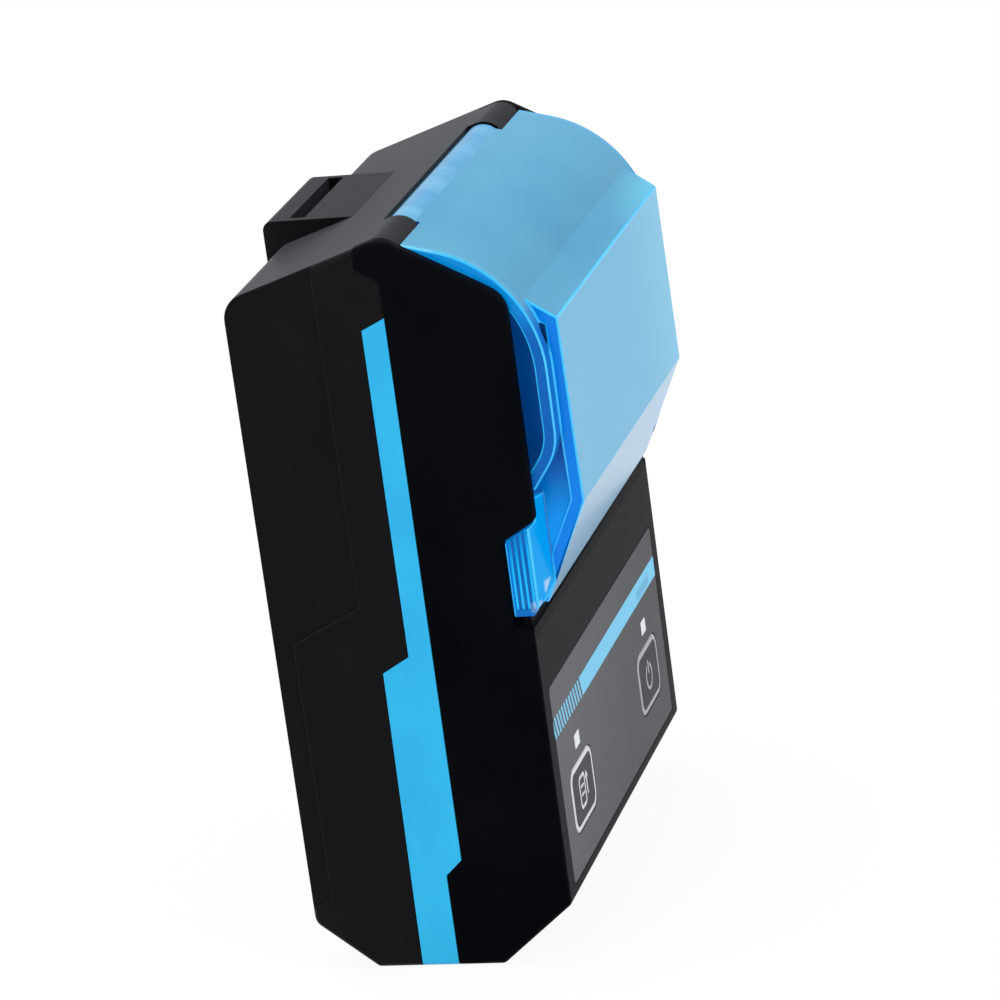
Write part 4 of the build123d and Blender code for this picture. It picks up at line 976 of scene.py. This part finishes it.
def makeChipFinish(look):
    # moulded chips, one tinned screening can and the pale cable socket
    finish = Finish("chip_black", IOR=1.5)
    x, z = finish.acrossAndUp()
    onCan = finish.between(x, *look["canX"], 0.1) * finish.between(z, *look["canZ"], 0.1)
    onSocket = finish.spread(z, look["socketZ"] - 0.1, look["socketZ"] + 0.1)
    worn = finish.spread(finish.noise(look["wornScale"]), *look["wornRange"])
    face = finish.blend(worn, look["chip"], look["chipWorn"])
    face = finish.blend(onCan, face, look["can"])
    finish.feed("Base Color", finish.blend(onSocket, face, look["socket"]))
    finish.feed("Metallic", onCan)
    smooth = look["roughness"] - onCan * look["canSmooth"]
    patches = finish.noise(look["sheenScale"], 2.0)
    finish.feed("Roughness", finish.uneven(smooth, patches, look["uneven"]))
    finish.bump(finish.noise(look["grain"], 2.0), look["grainDepth"], look["grainStrength"])
    return finish


paint(makeBoardFinish(boardLook), "main_board")
paint(makeChipFinish(chipLook), "board_components")


# Flat cables: amber film over copper strips side by side

cableLook = {
    "film": colour(196, 120, 38),
    "filmDeep": colour(176, 104, 30),
    "copper": colour(222, 150, 70),
    "copperShare": 0.7,
    "copperMetallic": 0.35,
    "stripShare": (0.2, 0.75),
    "cloudScale": 80.0,
    "grain": 900.0,
    "roughness": 0.3,
    "uneven": 0.1,
    "height": 0.00003,
    "strength": 0.5,
}


def makeCableFinish(name, look, axis, pitch):
    # the strips lie side by side along the given axis
    finish = Finish(name, IOR=1.5)
    across = finish.fraction(finish.inMillimetres()[axis] / pitch)
    strips = finish.between(across, *look["stripShare"], 0.06)
    film = finish.blend(finish.clouds(look["cloudScale"]), look["film"], look["filmDeep"])
    finish.feed("Base Color", finish.blend(strips * look["copperShare"], film, look["copper"]))
    finish.feed("Metallic", strips * look["copperMetallic"])
    grain = finish.noise(look["grain"], 2.0)
    finish.feed("Roughness", finish.uneven(look["roughness"], grain, look["uneven"]))
    finish.bump(strips, look["height"], look["strength"])
    return finish


paint(makeCableFinish("head_cable_amber", cableLook, axis=0, pitch=1.0), "head_flex_cable")
paint(makeCableFinish("motor_cable_amber", cableLook, axis=2, pitch=0.8), "motor_flex_cable")


# Battery: shrunk film with folded ends and a bare label with a pale edge

batteryLook = {
    "film": colour(52, 54, 60),
    "filmDeep": colour(44, 46, 51),
    "fold": colour(30, 31, 34),
    "label": colour(120, 124, 130),
    "labelEdge": colour(196, 198, 200),
    "roughness": 0.3,
    "labelRougher": 0.2,
    "uneven": 0.1,
    "foldX": 25.8,
    "labelZ": 32.0,
    "labelSize": (34.0, 20.0),
    "labelCorner": 1.2,
    "grain": 400.0,
    "wrinkleScale": 60.0,
    "wrinkleStretch": (1.0, 1.0, 0.4),
    "wrinkleDepth": 0.0001,
    "wrinkleStrength": 0.25,
}


def makeBatteryFinish(look):
    finish = Finish("battery_film", IOR=1.5)
    x, z = finish.acrossAndUp()
    wrinkles = finish.noise(look["wrinkleScale"], 4.0, 0.6, look["wrinkleStretch"])
    film = finish.blend(finish.spread(wrinkles, 0.3, 0.7), look["film"], look["filmDeep"])
    folded = finish.spread(abs(x), look["foldX"] - 0.2, look["foldX"])
    film = finish.blend(folded, film, look["fold"])
    corner = look["labelCorner"]
    edge = roundedBox(finish, x, z - look["labelZ"], look["labelSize"], corner)
    onLabel = finish.spread(edge, 0.05, -0.05)
    inside = finish.spread(edge + corner, 0.2, 0.1)
    label = finish.blend(inside, look["labelEdge"], look["label"])
    finish.feed("Base Color", finish.blend(onLabel, film, label))
    rough = look["roughness"] + onLabel * look["labelRougher"]
    grain = finish.noise(look["grain"], 2.0)
    finish.feed("Roughness", finish.uneven(rough, grain, look["uneven"]))
    finish.bump(wrinkles, look["wrinkleDepth"], look["wrinkleStrength"])
    return finish


paint(makeBatteryFinish(batteryLook), "battery_pack")
print("inner finishes made")


# Stage and lights

stageLook = {
    "floor": (0.86, 0.86, 0.86, 1.0),
    "floorSize": 8.0,
    "floorPlace": (0, 0, -0.0002),
    "whiteShare": 0.93,
    "worldStrength": 0.55,
    "aim": (0, 0, 0.055),
    "lamps": {
        "keyLamp": {"place": (-0.35, -1.1, 0.9), "size": 0.9, "power": 7.0},
        "fillLamp": {"place": (-1.2, 0.5, 0.6), "size": 1.0, "power": 5.0},
        "topLamp": {"place": (0.1, 0.3, 1.4), "size": 1.0, "power": 13.0},
    },
}


def seenBy(graph, first, second):
    # 1 for the two kinds of ray that see the white ground
    return graph.larger(graph.node("ShaderNodeLightPath", output=first),
                        graph.node("ShaderNodeLightPath", output=second))


def makeFloor(look):
    bpy.ops.object.select_all(action="DESELECT")
    bpy.ops.mesh.primitive_plane_add(size=look["floorSize"], location=look["floorPlace"])
    floor = bpy.context.object
    floor.name = "floor"
    material = bpy.data.materials.new("floor")
    material.use_nodes = True
    graph = Graph(material.node_tree)
    share = seenBy(graph, "Is Camera Ray", "Is Glossy Ray") * look["whiteShare"]
    shaded = graph.node("ShaderNodeBsdfDiffuse", {}, {"Color": look["floor"]})
    glow = graph.node("ShaderNodeEmission", {}, {"Strength": 1.0})
    mixed = graph.node("ShaderNodeMixShader", {}, {0: share, 1: shaded, 2: glow})
    graph.node("ShaderNodeOutputMaterial", {}, {0: mixed})
    floor.data.materials.append(material)


def makeWorld(look):
    world = bpy.data.worlds.new("studio")
    bpy.context.scene.world = world
    world.use_nodes = True
    graph = Graph(world.node_tree)
    seen = seenBy(graph, "Is Camera Ray", "Is Transmission Ray")
    soft, bright = [
        graph.node("ShaderNodeBackground", {}, {"Color": white, "Strength": strength})
        for strength in (look["worldStrength"], 1.0)]
    mixed = graph.node("ShaderNodeMixShader", {}, {0: seen, 1: soft, 2: bright})
    graph.node("ShaderNodeOutputWorld", {}, {0: mixed})


def makeLamp(name, look, aim):
    data = bpy.data.lights.new(name, "AREA")
    data.shape = "SQUARE"
    data.size = look["size"]
    data.energy = look["power"]
    lamp = bpy.data.objects.new(name, data)
    bpy.context.scene.collection.objects.link(lamp)
    lamp.location = look["place"]
    ahead = Vector(aim) - Vector(look["place"])
    lamp.rotation_euler = ahead.to_track_quat("-Z", "Y").to_euler()


makeFloor(stageLook)
makeWorld(stageLook)
for name, look in stageLook["lamps"].items():
    makeLamp(name, look, stageLook["aim"])
bpy.context.scene.view_settings.view_transform = "Standard"
print("stage made")

bpy.context.view_layer.update()
